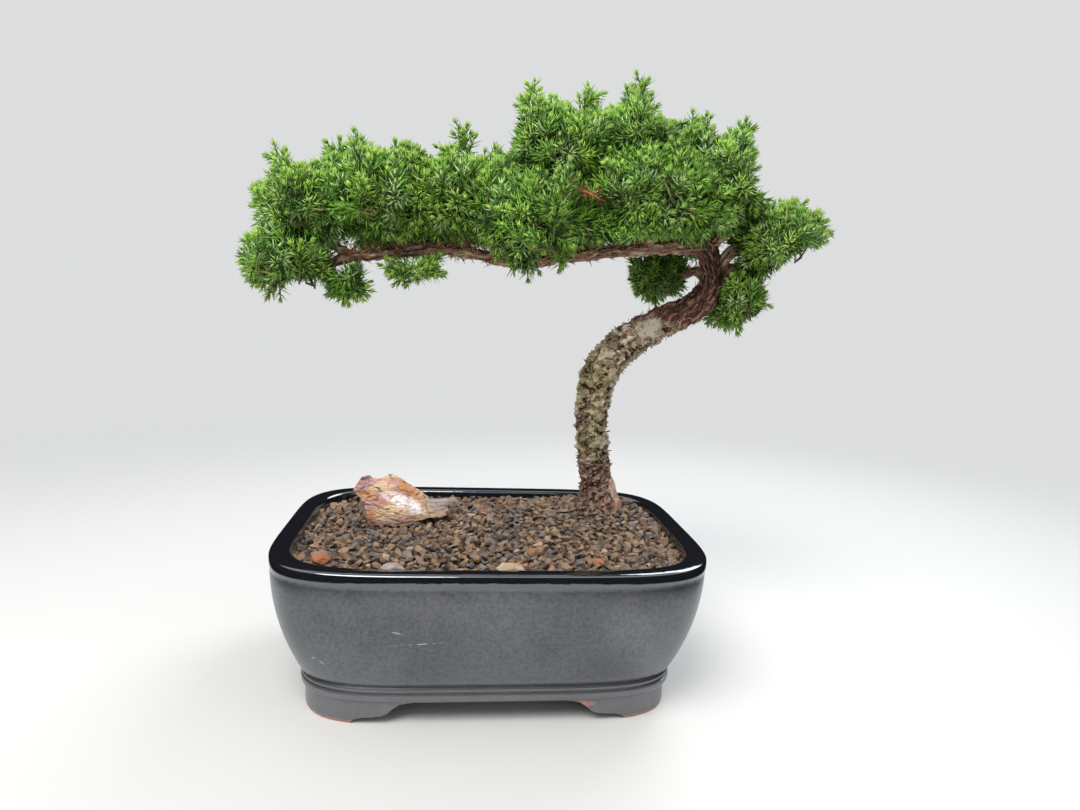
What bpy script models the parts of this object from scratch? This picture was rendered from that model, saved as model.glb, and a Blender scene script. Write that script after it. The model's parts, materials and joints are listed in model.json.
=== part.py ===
"""A juniper bonsai in a glazed oblong pot, at life size, in metres with +Z up.

The plant is a bent trunk, one long bough that sweeps out over the pot, the shorter boughs
and the masses of foliage that they carry. It is laid out from the centre of the pot's foot
print, with +X to the right and +Y away from the viewer, and the whole is then moved so that
the origin lies under the middle of its box.
"""

import math
import random

import bmesh
import bpy
import numpy as np
from mathutils import Matrix, Vector
from mathutils.geometry import delaunay_2d_cdt

MM = 0.001
GAP = 0.3 * MM

# Pot, in millimetres: outer lengths at the rim, and the curve of its corners
POT_LENGTH = 216.0
POT_DEPTH = 164.0
POT_HEIGHT = 79.0
CORNER_POWER = 4.9
POT_SEGMENTS = 28
RIM_HEIGHT = 5.2
RIM_STEP = 1.2
RIM_WIDTH = 6.0
WALL = 5.0
FLOOR_TOP = 19.5
FLOOR_FILLET = 5.0
INNER_LEVELS = (75.0, 56.0, 38.0)
BASE_INSET = 13.4
BAND_TOP = 20.0
BAND_BOTTOM = 11.5
BELLY_POWER = 1.8
BELLY_STEPS = 5
# The beaded base: how far in from its line, and how high above its lower edge
BASE_BEADS = ((3.0, 0.0), (0.6, 1.2), (0.1, 4.25), (1.2, 5.05), (0.2, 7.1), (0.9, 8.2))
BEAD_TOP = 0.7
# The rim's rounded outer face: how far in, and how high, as a share of the rim
RIM_ROLL = ((0.3, 0.06), (0.0, 0.5), (0.5, 0.92))
RIM_EDGE = 0.8
RIM_SHOULDER = 1.4
FOOT_INSET = 15.5
FOOT_EASE = 0.9
FOOT_BURIED = 2.0
ARCH_BELOW = 5.0
FOOT_THICKNESS = 9.5
FOOT_LONG_GAP = 66.0
FOOT_SIDE_GAP = 40.0
# How far the arch between two feet has drawn in, and how high it is there
FOOT_OGEE = ((0.0, 0.0), (2.0, 2.2), (5.5, 3.4), (15.0, 4.6), (19.0, 7.0), (23.0, 10.4), (28.0, 11.5))
DRAIN_RADIUS = 8.0
DRAIN_APART = 84.0
DRAIN_SEGMENTS = 20

# Soil: its level at the wall, how it mounds up to the trunk, and the lumps of its grit
SOIL_EDGE = INNER_LEVELS[0]
SOIL_CROWN = 1.6
MOUND_HEIGHT = 6.4
MOUND_SPREAD = 34.0
SOIL_FADE = 6.0
LUMP_STEP = 9.8
LUMP_DRIFT = 1.6
LUMP_EDGE = 5.5
LUMP_RISE = (0.9, 1.5)
LUMP_HOLLOW = (-1.1, -0.6)
GROUND = 81.0
SEAT_RADIUS = 15.5
SEAT_DEPTH = 20.0
SEAT_SEGMENTS = 18

# Stone: an angular lump that lies in the soil
STONE_CENTRE = (-50.0, 14.0, 82.0)
STONE_HALF = (26.0, 14.0, 11.5)
STONE_CORNERS = 46
STONE_SLOPE = -0.32
STONE_REACH = (0.9, 1.06)

# Trunk: lean, depth, height and radius along its middle, from the ground to the sawn tip
TRUNK_LINE = (
    (69.0, 37.0, GROUND + 0.3, 8.9),
    (64.5, 35.0, 96.0, 8.9),
    (61.0, 31.0, 114.0, 8.9),
    (58.8, 28.0, 132.0, 8.7),
    (59.0, 25.0, 150.0, 9.3),
    (63.0, 23.0, 165.0, 9.6),
    (78.0, 21.0, 182.0, 9.6),
    (97.0, 20.0, 193.5, 8.4),
    (115.0, 20.0, 203.0, 7.6),
    (122.0, 20.0, 214.0, 6.4),
    (121.4, 20.0, 226.0, 5.7),
    (118.0, 20.0, 235.0, 5.4),
    (113.6, 20.0, 240.0, 5.2),
)
TRUNK_SIDES = 12
TRUNK_STEP = 7.5
BARK_ROUGHNESS = 0.035
FLARE = 0.42
FLARE_HEIGHT = 7.0
ROOTS = 5
ROOT_LOBE = 0.4

# Boughs: each leaves its parent at a share of the parent's length, passes its own stations
# and tapers from one radius to the other
BOUGHS = {
    "long_bough": dict(
        parent="trunk", share=0.96, radii=(3.4, 1.9),
        line=((100, 17.5, 234.5), (67, 14, 230.5), (31, 10, 224.6), (14, 9, 220.8), (-12, 8, 224.4),
              (-31, 8, 226), (-56, 8, 222.8), (-78, 8, 219.6), (-90, 8, 215)),
    ),
    "apex_bough": dict(
        parent="trunk", share=0.94, radii=(4.0, 2.8),
        line=((118, 29, 244), (109, 30, 257), (94, 29, 268)),
    ),
    "upper_left_bough": dict(
        parent="apex_bough", share=0.75, radii=(2.8, 2.0),
        line=((84, 24, 262), (72, 23, 263), (60, 23, 266)),
    ),
    "right_upper_bough": dict(
        parent="trunk", share=0.955, radii=(3.2, 2.4), line=((126, 17, 243), (128, 18, 250)),
    ),
    "right_bough": dict(
        parent="trunk", share=0.90, radii=(3.1, 2.3), line=((132, 18, 233), (139, 17, 235.5)),
    ),
    "lower_right_bough": dict(
        parent="trunk", share=0.84, radii=(2.4, 1.9),
        line=((135, 24, 224), (140, 24, 222), (141.5, 24, 217)),
    ),
    "back_bough": dict(
        parent="trunk", share=0.86, radii=(2.9, 2.0), line=((119, 34, 222), (114, 43, 221)),
    ),
    "back_right_bough": dict(
        parent="apex_bough", share=0.3, radii=(2.8, 2.3), line=((115, 41, 251),),
    ),
    "left_upper_bough": dict(
        parent="long_bough", share=0.93, radii=(1.9, 1.6), line=((-88, 10, 226),),
    ),
    "left_middle_bough": dict(
        parent="long_bough", share=0.79, radii=(1.9, 1.6), line=((-54, 9, 232),),
    ),
    "spire_bough": dict(
        parent="long_bough", share=0.64, radii=(1.9, 1.6), line=((-21, 10, 235),),
    ),
    "front_bough": dict(
        parent="long_bough", share=0.17, radii=(2.3, 1.8), line=((80, 8, 238),),
    ),
    "centre_bough": dict(
        parent="long_bough", share=0.40, radii=(2.2, 1.8), line=((28, 1, 228),),
    ),
    "back_centre_bough": dict(
        parent="long_bough", share=0.33, radii=(2.3, 1.7), line=((46, 22, 233), (38, 36, 240)),
    ),
    "back_left_bough": dict(
        parent="long_bough", share=0.71, radii=(2.0, 1.5), line=((-42, 20, 230), (-48, 29, 235)),
    ),
}
BOUGH_STEP = 13.0

# Foliage masses: the limb whose end or side carries each one, the middle and the half sizes
# of the space it fills, how large its core is, how many ways its shoots look, and the tips
# that stand out of its outline
MASSES = {
    "left_tip": dict(
        limb="long_bough", middle=(-108, 6, 216), half=(28, 32, 25), core=0.60, ways=9,
        tips=((-134, 5, 226), (-135, 6, 205), (-122, 4, 193)),
    ),
    "left_upper": dict(
        limb="left_upper_bough", middle=(-98, 10, 248), half=(34, 36, 28), core=0.70, ways=12,
        tips=((-131, 8, 250), (-120, 9, 274)),
    ),
    "left_middle": dict(
        limb="left_middle_bough", middle=(-60, 8, 254), half=(42, 36, 29), core=0.70, ways=14,
        tips=((-82, 9, 284), (-50, 10, 282)),
    ),
    "left_spire": dict(
        limb="spire_bough", middle=(-17, 10, 253), half=(42, 36, 28), core=0.70, ways=12,
        tips=((-22, 14, 297),),
    ),
    "centre_front": dict(
        limb="centre_bough", middle=(24, -12, 242), half=(44, 28, 29), core=0.68, ways=11,
        tips=((10, -12, 211), (34, -14, 214)),
    ),
    "apex_left": dict(
        limb="upper_left_bough", middle=(32, 18, 281), half=(38, 38, 33), core=0.70, ways=13,
        tips=((14, 20, 321), (36, 18, 314)),
    ),
    "apex_right": dict(
        limb="apex_bough", middle=(73, 24, 286), half=(38, 40, 34), core=0.70, ways=13,
        tips=((76, 25, 328.5), (54, 24, 320)),
    ),
    "right_front": dict(
        limb="front_bough", middle=(82, -8, 257), half=(44, 30, 31), core=0.70, ways=12, tips=(),
    ),
    "right_upper": dict(
        limb="right_upper_bough", middle=(120, 16, 272), half=(36, 40, 35), core=0.70, ways=14,
        tips=((106, 20, 310), (141, 20, 307)),
    ),
    "right_droop": dict(
        limb="right_bough", middle=(158, 14, 240), half=(32, 34, 27), core=0.68, ways=11,
        tips=((190, 15, 250), (172, 12, 265)),
    ),
    "lower_right": dict(
        limb="lower_right_bough", middle=(141, 24, 206), half=(23, 28, 24), core=0.56, ways=8,
        tips=((158, 20, 208), (136, 22, 185), (118, 26, 191)),
    ),
    "back_lower": dict(
        limb="back_bough", middle=(103, 60, 219), half=(28, 24, 21), core=0.62, ways=8,
        tips=((84, 60, 210), (99, 62, 199)),
    ),
    "back_right": dict(
        limb="back_right_bough", middle=(104, 60, 260), half=(46, 30, 34), core=0.70, ways=10,
        tips=(),
    ),
    "back_centre": dict(
        limb="back_centre_bough", middle=(28, 58, 256), half=(50, 30, 34), core=0.70, ways=11,
        tips=(),
    ),
    "back_left": dict(
        limb="back_left_bough", middle=(-50, 46, 246), half=(48, 28, 29), core=0.70, ways=10,
        tips=(),
    ),
    "under_left": dict(
        limb="long_bough", share=0.90, middle=(-75, 4, 206), half=(16, 20, 11), core=0.0, ways=5,
        tips=((-66, 4, 198), (-84, 3, 195)),
    ),
    "under_middle": dict(
        limb="long_bough", share=0.74, middle=(-42, 2, 212), half=(18, 16, 12), core=0.0, ways=3,
        tips=((-55, -2, 207), (-28, -2, 211)),
    ),
}
GOLDEN_TURN = math.pi * (3.0 - math.sqrt(5.0))
SHELLS = (1.02, 0.92)
TIP_MARGIN = -2.0
TIP_SPACING = 16.0
LIFT = 0.35
WANDER = 0.22
TRIES = 10
PULL = 0.035
CELL_MARGIN = 0.45
SPACE_SLACK = 1.2
SHOOT_ROOTED = (0.10, 0.2)
SHORTER = 0.04
LEADER_DRIFT = 0.4
SIDE_JOINT = 0.35
TWIG_SPOTS = 8
SHOOT_SPOTS = (0.0, 0.2, 0.4, 0.6, 0.8, 1.0)
SHOOT_TAPER = 0.6
SHOOT_LENGTH = (13.0, 25.0)
SHOOT_CORE = 1.7
SHOOT_SIDES = 3
SHOOT_TWIST = math.radians(50.0)
# How far the needles of each band reach, from the shoot's foot to its tip
NEEDLE_REACH = (8.0, 5.6)
NEEDLE_SWEEP = 5.5
SLIMMER = 0.05
BUD = 0.6
STEM_RADII = (1.5, 1.1)
STEM_STRAIGHT = 0.45
STEM_STEP = 6.0
STEM_SIDES = 5
STEM_BARE = 3
TWIG_RADII = (1.1, 0.9)
TWIG_SIDES = 3
TWIG_SHORTEST = 0.5
ROOT_SUNK = 2.0
CORELESS = 0.45
CORE_ROUGHNESS = 0.14
CORE_POWER = 2.8
TUFT_REACH = 6.5
TUFT_LIFT = 0.4
TUFT_SHARE = (0.7, 1.2)
CORE_CLEAR = 1.2
CORE_PASSES = 16
CORE_SHRINK = 0.95
CORE_DEPTHS = np.array((0.6, 1.0))
# Corner, edge and middle spots of a triangle, as shares of its corners
WEIGHTS = np.array((
    (1, 0, 0), (0, 1, 0), (0, 0, 1), (0.5, 0.5, 0), (0, 0.5, 0.5), (0.5, 0, 0.5), (0.34, 0.33, 0.33),
))

SMOOTH_ANGLE = math.radians(38.0)
GLAZE = (0.035, 0.04, 0.045)
GRIT = (0.16, 0.13, 0.11)
SANDSTONE = (0.55, 0.33, 0.21)
OLD_BARK = (0.27, 0.19, 0.14)
YOUNG_BARK = (0.33, 0.15, 0.08)
JUNIPER_GREEN = (0.07, 0.17, 0.06)


def clear_scene():
    for old in list(bpy.data.objects):
        bpy.data.objects.remove(old, do_unlink=True)


def new_collection(name):
    collection = bpy.data.collections.new(name)
    bpy.context.scene.collection.children.link(collection)
    return collection


def finish(name, colour, roughness):
    material = bpy.data.materials.new(name)
    material.use_nodes = True
    shader = material.node_tree.nodes["Principled BSDF"]
    shader.inputs["Base Color"].default_value = (*colour, 1.0)
    shader.inputs["Roughness"].default_value = roughness
    shader.inputs["Metallic"].default_value = 0.0
    return material


def place(name, mesh, collection, material=None, smooth=False):
    """An object of this mesh; a named material paints it and smooth rounds its shading."""
    thing = bpy.data.objects.new(name, mesh)
    collection.objects.link(thing)
    if material:
        mesh.materials.append(material)
    if smooth:
        mesh.shade_smooth()
        mesh.set_sharp_from_angle(angle=SMOOTH_ANGLE)
    return thing


def mesh_of(name, bm):
    bmesh.ops.recalc_face_normals(bm, faces=bm.faces)
    mesh = bpy.data.meshes.new(name)
    bm.to_mesh(mesh)
    bm.free()
    return mesh


def loft(name, rings, looped=False, lid=None):
    """A skin through rings of points in millimetres, capped, or joined end to end if looped.

    A lid closes the upper end in place of a flat cap: its points inside the last ring, and its
    faces over the ring's points and those.
    """
    bm = bmesh.new()
    rows = [[bm.verts.new(Vector(point) * MM) for point in ring] for ring in rings]
    pairs = list(zip(rows, rows[1:]))
    if looped:
        pairs.append((rows[-1], rows[0]))
    for low, high in pairs:
        for index, corner in enumerate(low):
            ahead = (index + 1) % len(low)
            bm.faces.new((corner, low[ahead], high[ahead], high[index]))
    if not looped:
        bm.faces.new(rows[0])
        inner, faces = lid or ([], [range(len(rows[-1]))])
        corners = rows[-1] + [bm.verts.new(Vector(point) * MM) for point in inner]
        for face in faces:
            bm.faces.new([corners[index] for index in face])
    return mesh_of(name, bm)


def tub_ring(inset, height):
    """The pot's plan at one level: an oblong with generous round corners."""
    ring = []
    for index in range(POT_SEGMENTS):
        turn = 2 * math.pi * (index + 0.5) / POT_SEGMENTS
        across, along = math.cos(turn), math.sin(turn)
        x = math.copysign(abs(across) ** (2 / CORNER_POWER), across)
        y = math.copysign(abs(along) ** (2 / CORNER_POWER), along)
        ring.append((x * (POT_LENGTH / 2 - inset), y * (POT_DEPTH / 2 - inset), height))
    return ring


def belly_inset(height):
    """How far the wall has drawn in from the rim's outline at this height."""
    top = POT_HEIGHT - RIM_HEIGHT
    down = max(0.0, (top - height) / (top - BAND_TOP))
    return RIM_STEP + (BASE_INSET - RIM_STEP) * down**BELLY_POWER


def inner_inset(height):
    return max(RIM_WIDTH, belly_inset(height) + WALL)


def pot_profile():
    """Inset and height from the underside, up the outer wall, over the rim and down inside."""
    top = POT_HEIGHT - RIM_HEIGHT
    foot = BAND_TOP + BEAD_TOP
    profile = [(BASE_INSET + inset, BAND_BOTTOM + up) for inset, up in BASE_BEADS]
    for step in range(BELLY_STEPS + 1):
        height = foot + (top - foot) * step / BELLY_STEPS
        profile.append((belly_inset(height), height))
    profile += [(inset, top + share * RIM_HEIGHT) for inset, share in RIM_ROLL]
    profile += [
        (RIM_SHOULDER, POT_HEIGHT),
        (RIM_WIDTH - RIM_EDGE, POT_HEIGHT),
        (RIM_WIDTH, POT_HEIGHT - RIM_EDGE),
    ]
    for height in (*INNER_LEVELS, FLOOR_TOP + FLOOR_FILLET):
        profile.append((inner_inset(height), height))
    profile.append((inner_inset(FLOOR_TOP) + FLOOR_FILLET, FLOOR_TOP))
    return profile


def prism(name, outline, half_length, along_y):
    """A bar of this outline (across, height) that runs both ways along Y, or along X."""
    bm = bmesh.new()
    corners = []
    for across, height in outline:
        spot = (across, -half_length, height) if along_y else (-half_length, across, height)
        corners.append(bm.verts.new(Vector(spot) * MM))
    made = bmesh.ops.extrude_face_region(bm, geom=[bm.faces.new(corners)])
    run = Vector((0, 2 * half_length, 0)) if along_y else Vector((2 * half_length, 0, 0))
    moved = [item for item in made["geom"] if isinstance(item, bmesh.types.BMVert)]
    bmesh.ops.translate(bm, verts=moved, vec=run * MM)
    return mesh_of(name, bm)


def as_cutter(thing):
    thing.hide_render = True
    thing.display_type = "WIRE"
    return thing


def boolean(target, other, operation):
    modifier = target.modifiers.new(operation.title() + " " + other.name, "BOOLEAN")
    modifier.operation = operation
    modifier.object = other
    modifier.solver = "EXACT"


def make_pot(parts, cutters):
    """A cup with a thick rim and a beaded base, on four corner feet, with two drain holes."""
    cup = loft("pot", [tub_ring(inset, height) for inset, height in pot_profile()])
    pot = place("pot", cup, parts, finish("glaze", GLAZE, 0.18), smooth=True)
    inner = FOOT_INSET + FOOT_THICKNESS
    buried = BAND_BOTTOM + FOOT_BURIED
    skirt_rings = [
        tub_ring(FOOT_INSET + FOOT_EASE, 0.0),
        tub_ring(FOOT_INSET, FOOT_EASE),
        tub_ring(FOOT_INSET, buried),
        tub_ring(inner, buried),
        tub_ring(inner, 0.0),
    ]
    skirt = as_cutter(place("foot_skirt", loft("foot_skirt", skirt_rings, looped=True), cutters))
    for name, gap, along_y in (("long", FOOT_LONG_GAP, True), ("side", FOOT_SIDE_GAP, False)):
        right = [(gap - drawn_in, height) for drawn_in, height in FOOT_OGEE]
        outline = [(gap, -ARCH_BELOW)] + right
        outline += [(-across, height) for across, height in reversed(right)]
        outline.append((-gap, -ARCH_BELOW))
        arch = place(f"{name}_arch", prism(f"{name}_arch", outline, POT_LENGTH, along_y), cutters)
        boolean(skirt, as_cutter(arch), "DIFFERENCE")
    boolean(pot, skirt, "UNION")
    for side in (-1, 1):
        bm = bmesh.new()
        where = Matrix.Translation(Vector((side * DRAIN_APART / 2, 0, FLOOR_TOP / 2)) * MM)
        bmesh.ops.create_cone(
            bm, cap_ends=True, segments=DRAIN_SEGMENTS, depth=2 * FLOOR_TOP * MM, matrix=where,
            radius1=DRAIN_RADIUS * MM, radius2=DRAIN_RADIUS * MM,
        )
        name = "left_drain" if side < 0 else "right_drain"
        boolean(pot, as_cutter(place(name, mesh_of(name, bm), cutters)), "DIFFERENCE")
    return pot


def soil_height(x, y):
    """The soil's surface: a low dome with a mound round the foot of the trunk."""
    out = max(abs(2 * x / POT_LENGTH), abs(2 * y / POT_DEPTH))
    away = math.hypot(x - TRUNK_LINE[0][0], y - TRUNK_LINE[0][1]) / MOUND_SPREAD
    dome = SOIL_CROWN * (1.0 - out**2)
    fade = min(1.0, (1.0 - out) * SOIL_FADE)
    return SOIL_EDGE + max(0.0, dome) + MOUND_HEIGHT * math.exp(-(away**2)) * max(0.0, fade)


def grit_top(brim):
    """The soil's face as a lid inside its brim: lumps in staggered rows with hollows between."""
    rng = random.Random(7)
    half_length = max(x for x, _, _ in brim) - LUMP_EDGE
    half_depth = max(y for _, y, _ in brim) - LUMP_EDGE
    row_step = LUMP_STEP * math.sin(math.radians(60.0))
    rows, columns = math.ceil(half_depth / row_step), math.ceil(half_length / LUMP_STEP)
    inner = []
    for row in range(-rows, rows + 1):
        for column in range(-columns, columns + 1):
            x = (column + 0.5 * (row % 2)) * LUMP_STEP + rng.uniform(-LUMP_DRIFT, LUMP_DRIFT)
            y = row * row_step + rng.uniform(-LUMP_DRIFT, LUMP_DRIFT)
            raised = (column - row // 2 - row) % 3 == 0
            lump = rng.uniform(*(LUMP_RISE if raised else LUMP_HOLLOW))
            if abs(x / half_length) ** CORNER_POWER + abs(y / half_depth) ** CORNER_POWER > 1.0:
                continue
            away = math.hypot(x - TRUNK_LINE[0][0], y - TRUNK_LINE[0][1]) / SEAT_RADIUS
            inner.append((x, y, soil_height(x, y) + lump * (1.0 - math.exp(-(away**2)))))
    spots = [Vector(point[:2]) for point in brim + inner]
    _, _, faces, sources, _, _ = delaunay_2d_cdt(spots, [], [], 0, 1e-6)
    return inner, [[sources[index][0] for index in face] for face in faces]


def make_soil(parts, cutters, stone):
    """The pot's filling, clear of the wall, with a nest for the stone and a seat for the trunk."""
    gap = GAP / MM
    fillet_top = FLOOR_TOP + FLOOR_FILLET
    rings = [
        tub_ring(inner_inset(FLOOR_TOP) + FLOOR_FILLET + gap, FLOOR_TOP + gap),
        tub_ring(inner_inset(fillet_top) + gap, fillet_top + gap),
    ]
    for height in reversed(INNER_LEVELS):
        brim = tub_ring(inner_inset(height) + gap, height)
        rings.append(brim)
    soil_mesh = loft("soil", rings, lid=grit_top(brim))
    soil = place("soil", soil_mesh, parts, finish("grit", GRIT, 0.95))
    seat = bmesh.new()
    top = Vector((TRUNK_LINE[0][0], TRUNK_LINE[0][1], GROUND + SEAT_DEPTH / 2)) * MM
    bmesh.ops.create_cone(
        seat, cap_ends=True, segments=SEAT_SEGMENTS, radius1=SEAT_RADIUS * MM,
        radius2=SEAT_RADIUS * MM, depth=SEAT_DEPTH * MM, matrix=Matrix.Translation(top),
    )
    boolean(soil, as_cutter(place("trunk_seat", mesh_of("trunk_seat", seat), cutters)), "DIFFERENCE")
    nest = bmesh.new()
    nest.from_mesh(stone.data)
    middle = Vector(STONE_CENTRE) * MM
    for vert in nest.verts:
        vert.co += (vert.co - middle).normalized() * 2 * GAP
    boolean(soil, as_cutter(place("stone_nest", mesh_of("stone_nest", nest), cutters)), "DIFFERENCE")
    return soil


def make_stone(parts):
    """An angular lump: the hull of points scattered over a long low ellipsoid."""
    rng = random.Random(21)
    bm = bmesh.new()
    for index in range(STONE_CORNERS):
        height = 1.0 - 2.0 * (index + 0.5) / STONE_CORNERS
        flat = math.sqrt(1.0 - height * height)
        turn = GOLDEN_TURN * index
        reach = rng.uniform(*STONE_REACH)
        x, y = flat * math.cos(turn) * reach, flat * math.sin(turn) * reach
        z = height * (1.0 + STONE_SLOPE * x)
        spot = [c + h * v for c, h, v in zip(STONE_CENTRE, STONE_HALF, (x, y, z))]
        bm.verts.new(Vector(spot) * MM)
    bmesh.ops.convex_hull(bm, input=bm.verts)
    return place("stone", mesh_of("stone", bm), parts, finish("banded_stone", SANDSTONE, 0.8))


def smooth_line(stations, step):
    """Points every step or so along one smooth curve through the stations, radius included."""
    rows = [np.array(row, float) for row in stations]
    rows = [2 * rows[0] - rows[1]] + rows + [2 * rows[-1] - rows[-2]]
    line = []
    for before, start, end, after in zip(rows, rows[1:], rows[2:], rows[3:]):
        count = max(1, round(float(np.linalg.norm((end - start)[:3])) / step))
        for index in range(count):
            t = index / count
            line.append(
                0.5 * (2 * start + (end - before) * t
                       + (2 * before - 5 * start + 4 * end - after) * t**2
                       + (3 * start - before - 3 * end + after) * t**3)
            )
    line.append(rows[-2])
    return np.array(line)


def make_trunk(parts):
    """A bent, tapering pole with a root flare, rough all over, from a flat cut to the sawn tip."""
    rng = random.Random(3)
    line = smooth_line(TRUNK_LINE, TRUNK_STEP)
    side = Vector((0.0, 1.0, 0.0))
    rings = []
    for index, (x, y, z, radius) in enumerate(line):
        ahead = Vector(line[min(index + 1, len(line) - 1)][:3])
        behind = Vector(line[max(index - 1, 0)][:3])
        along = (ahead - behind).normalized()
        side = (side - along * side.dot(along)).normalized()
        across = along.cross(side)
        flare = FLARE * math.exp(-(z - GROUND) / FLARE_HEIGHT)
        ring = []
        for corner in range(TRUNK_SIDES):
            turn = 2 * math.pi * corner / TRUNK_SIDES
            lobe = 1.0 - ROOT_LOBE + ROOT_LOBE * math.cos(ROOTS * turn)
            rough = rng.uniform(-BARK_ROUGHNESS, BARK_ROUGHNESS)
            reach = radius * (1.0 + flare * lobe + rough)
            spot = Vector((x, y, z)) + (side * math.cos(turn) + across * math.sin(turn)) * reach
            if index == 0:
                spot -= along * ((spot.z - z) / along.z)
            ring.append(spot)
        rings.append(ring)
    bark = finish("old_bark", OLD_BARK, 0.9)
    place("trunk", loft("trunk", rings), parts, bark, smooth=True)
    return line


def towards(start, end):
    way = np.array(end, float) - np.array(start, float)
    return way / np.linalg.norm(way)


def leave_side(line, share, target, radius):
    """Where a limb of this radius starts so that its end clears its parent's side by a gap."""
    index = int(round(share * (len(line) - 1)))
    spot = line[index]
    ahead = towards(line[max(index - 1, 0)][:3], line[min(index + 1, len(line) - 1)][:3])
    way = np.array(target, float) - spot[:3]
    way -= ahead * way.dot(ahead)
    way /= np.linalg.norm(way)
    surface = spot[:3] + way * (spot[3] * (1.0 + BARK_ROUGHNESS) + GAP / MM)
    slant = math.sqrt(max(0.0, 1.0 - way.dot(towards(surface, target)) ** 2))
    return surface + way * radius * slant


def make_boughs(parts, limbs):
    """Each bough is one tapering tube that starts clear of its parent's bark."""
    bark = finish("young_bark", YOUNG_BARK, 0.85)
    for name, bough in BOUGHS.items():
        thick, thin = bough["radii"]
        root = leave_side(limbs[bough["parent"]], bough["share"], bough["line"][0], thick)
        spots = [root] + [np.array(spot, float) for spot in bough["line"]]
        stations = [
            (*spot, thick + (thin - thick) * index / (len(spots) - 1))
            for index, spot in enumerate(spots)
        ]
        line = smooth_line(stations, BOUGH_STEP)
        curve = bpy.data.curves.new(name, "CURVE")
        curve.dimensions = "3D"
        curve.bevel_depth = MM
        curve.bevel_resolution = 1
        curve.use_fill_caps = True
        curve.materials.append(bark)
        spline = curve.splines.new("POLY")
        spline.points.add(len(line) - 1)
        for point, (x, y, z, radius) in zip(spline.points, line):
            point.co = (x * MM, y * MM, z * MM, 1.0)
            point.radius = radius
        parts.objects.link(bpy.data.objects.new(name, curve))
        limbs[name] = line


def mass_stem(mass, limbs):
    """The stem's stations: from its limb, a gap clear, to the middle of the mass."""
    limb = limbs[mass["limb"]]
    heart = np.array(mass["middle"], float)
    if "share" in mass:
        root = leave_side(limb, mass["share"], heart, STEM_RADII[0])
        out = towards(root, heart)
    else:
        out = towards(limb[-2][:3], limb[-1][:3])
        root = limb[-1][:3] + out * GAP / MM
    bend = root + out * STEM_STRAIGHT * np.linalg.norm(heart - root)
    thick, thin = STEM_RADII
    return smooth_line([(*root, thick), (*bend, (thick + thin) / 2), (*heart, thin)], STEM_STEP)


def in_cell(points, reach, own):
    """Whether spheres of this reach keep to the flat-sided share of the crown of one mass."""
    def power(mass):
        return ((points - np.array(mass["middle"])) ** 2).sum(-1) - np.mean(mass["half"]) ** 2

    home = MASSES[own]
    for name, other in MASSES.items():
        if name == own:
            continue
        apart = np.linalg.norm(np.subtract(other["middle"], home["middle"]))
        if ((power(other) - power(home)) / (2 * apart) < reach + CELL_MARGIN).any():
            return False
    return True


def in_space(points, own, slack):
    home = MASSES[own]
    share = (points - np.array(home["middle"])) / np.array(home["half"])
    return bool(((share**2).sum(-1) < slack**2).all())


def clear_of_limbs(points, reach, limbs, skip):
    """Whether spheres of this reach stay clear of every limb but the one named."""
    for name, line in limbs.items():
        if name == skip:
            continue
        start, run = line[:-1, :3], line[1:, :3] - line[:-1, :3]
        offset = points[:, None] - start[None]
        t = np.clip((offset * run).sum(-1) / (run**2).sum(-1), 0.0, 1.0)
        apart = np.linalg.norm(offset - t[..., None] * run, axis=-1)
        thick = np.maximum(line[:-1, 3], line[1:, 3]) * (1.0 + BARK_ROUGHNESS) + 2 * GAP / MM
        if (apart < thick + np.reshape(reach, (-1, 1))).any():
            return False
    return True


def cross_frame(along):
    side = np.cross(along, (0.0, 0.0, 1.0) if abs(along[2]) < 0.9 else (1.0, 0.0, 0.0))
    side /= np.linalg.norm(side)
    return side, np.cross(along, side)


def shoot_points(base, along, length, slim):
    """The points of a shoot that its neighbours have to clear: its core and its needles' tips."""
    side, across = cross_frame(along)
    spots = [base + along * length * share for share in SHOOT_SPOTS]
    for band, needle in enumerate(NEEDLE_REACH):
        share = (band + 0.5) / len(NEEDLE_REACH)
        reach = needle * slim + SHOOT_CORE
        for corner in range(SHOOT_SIDES):
            turn = (band + 0.5) * SHOOT_TWIST + 2 * math.pi * (corner + 0.5) / SHOOT_SIDES
            out = side * math.cos(turn) + across * math.sin(turn)
            root = base + along * share * length
            spots.append(root + out * reach + along * NEEDLE_SWEEP)
            spots.append(root + out * reach / 2 + along * NEEDLE_SWEEP / 2)
    return np.array(spots)


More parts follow.
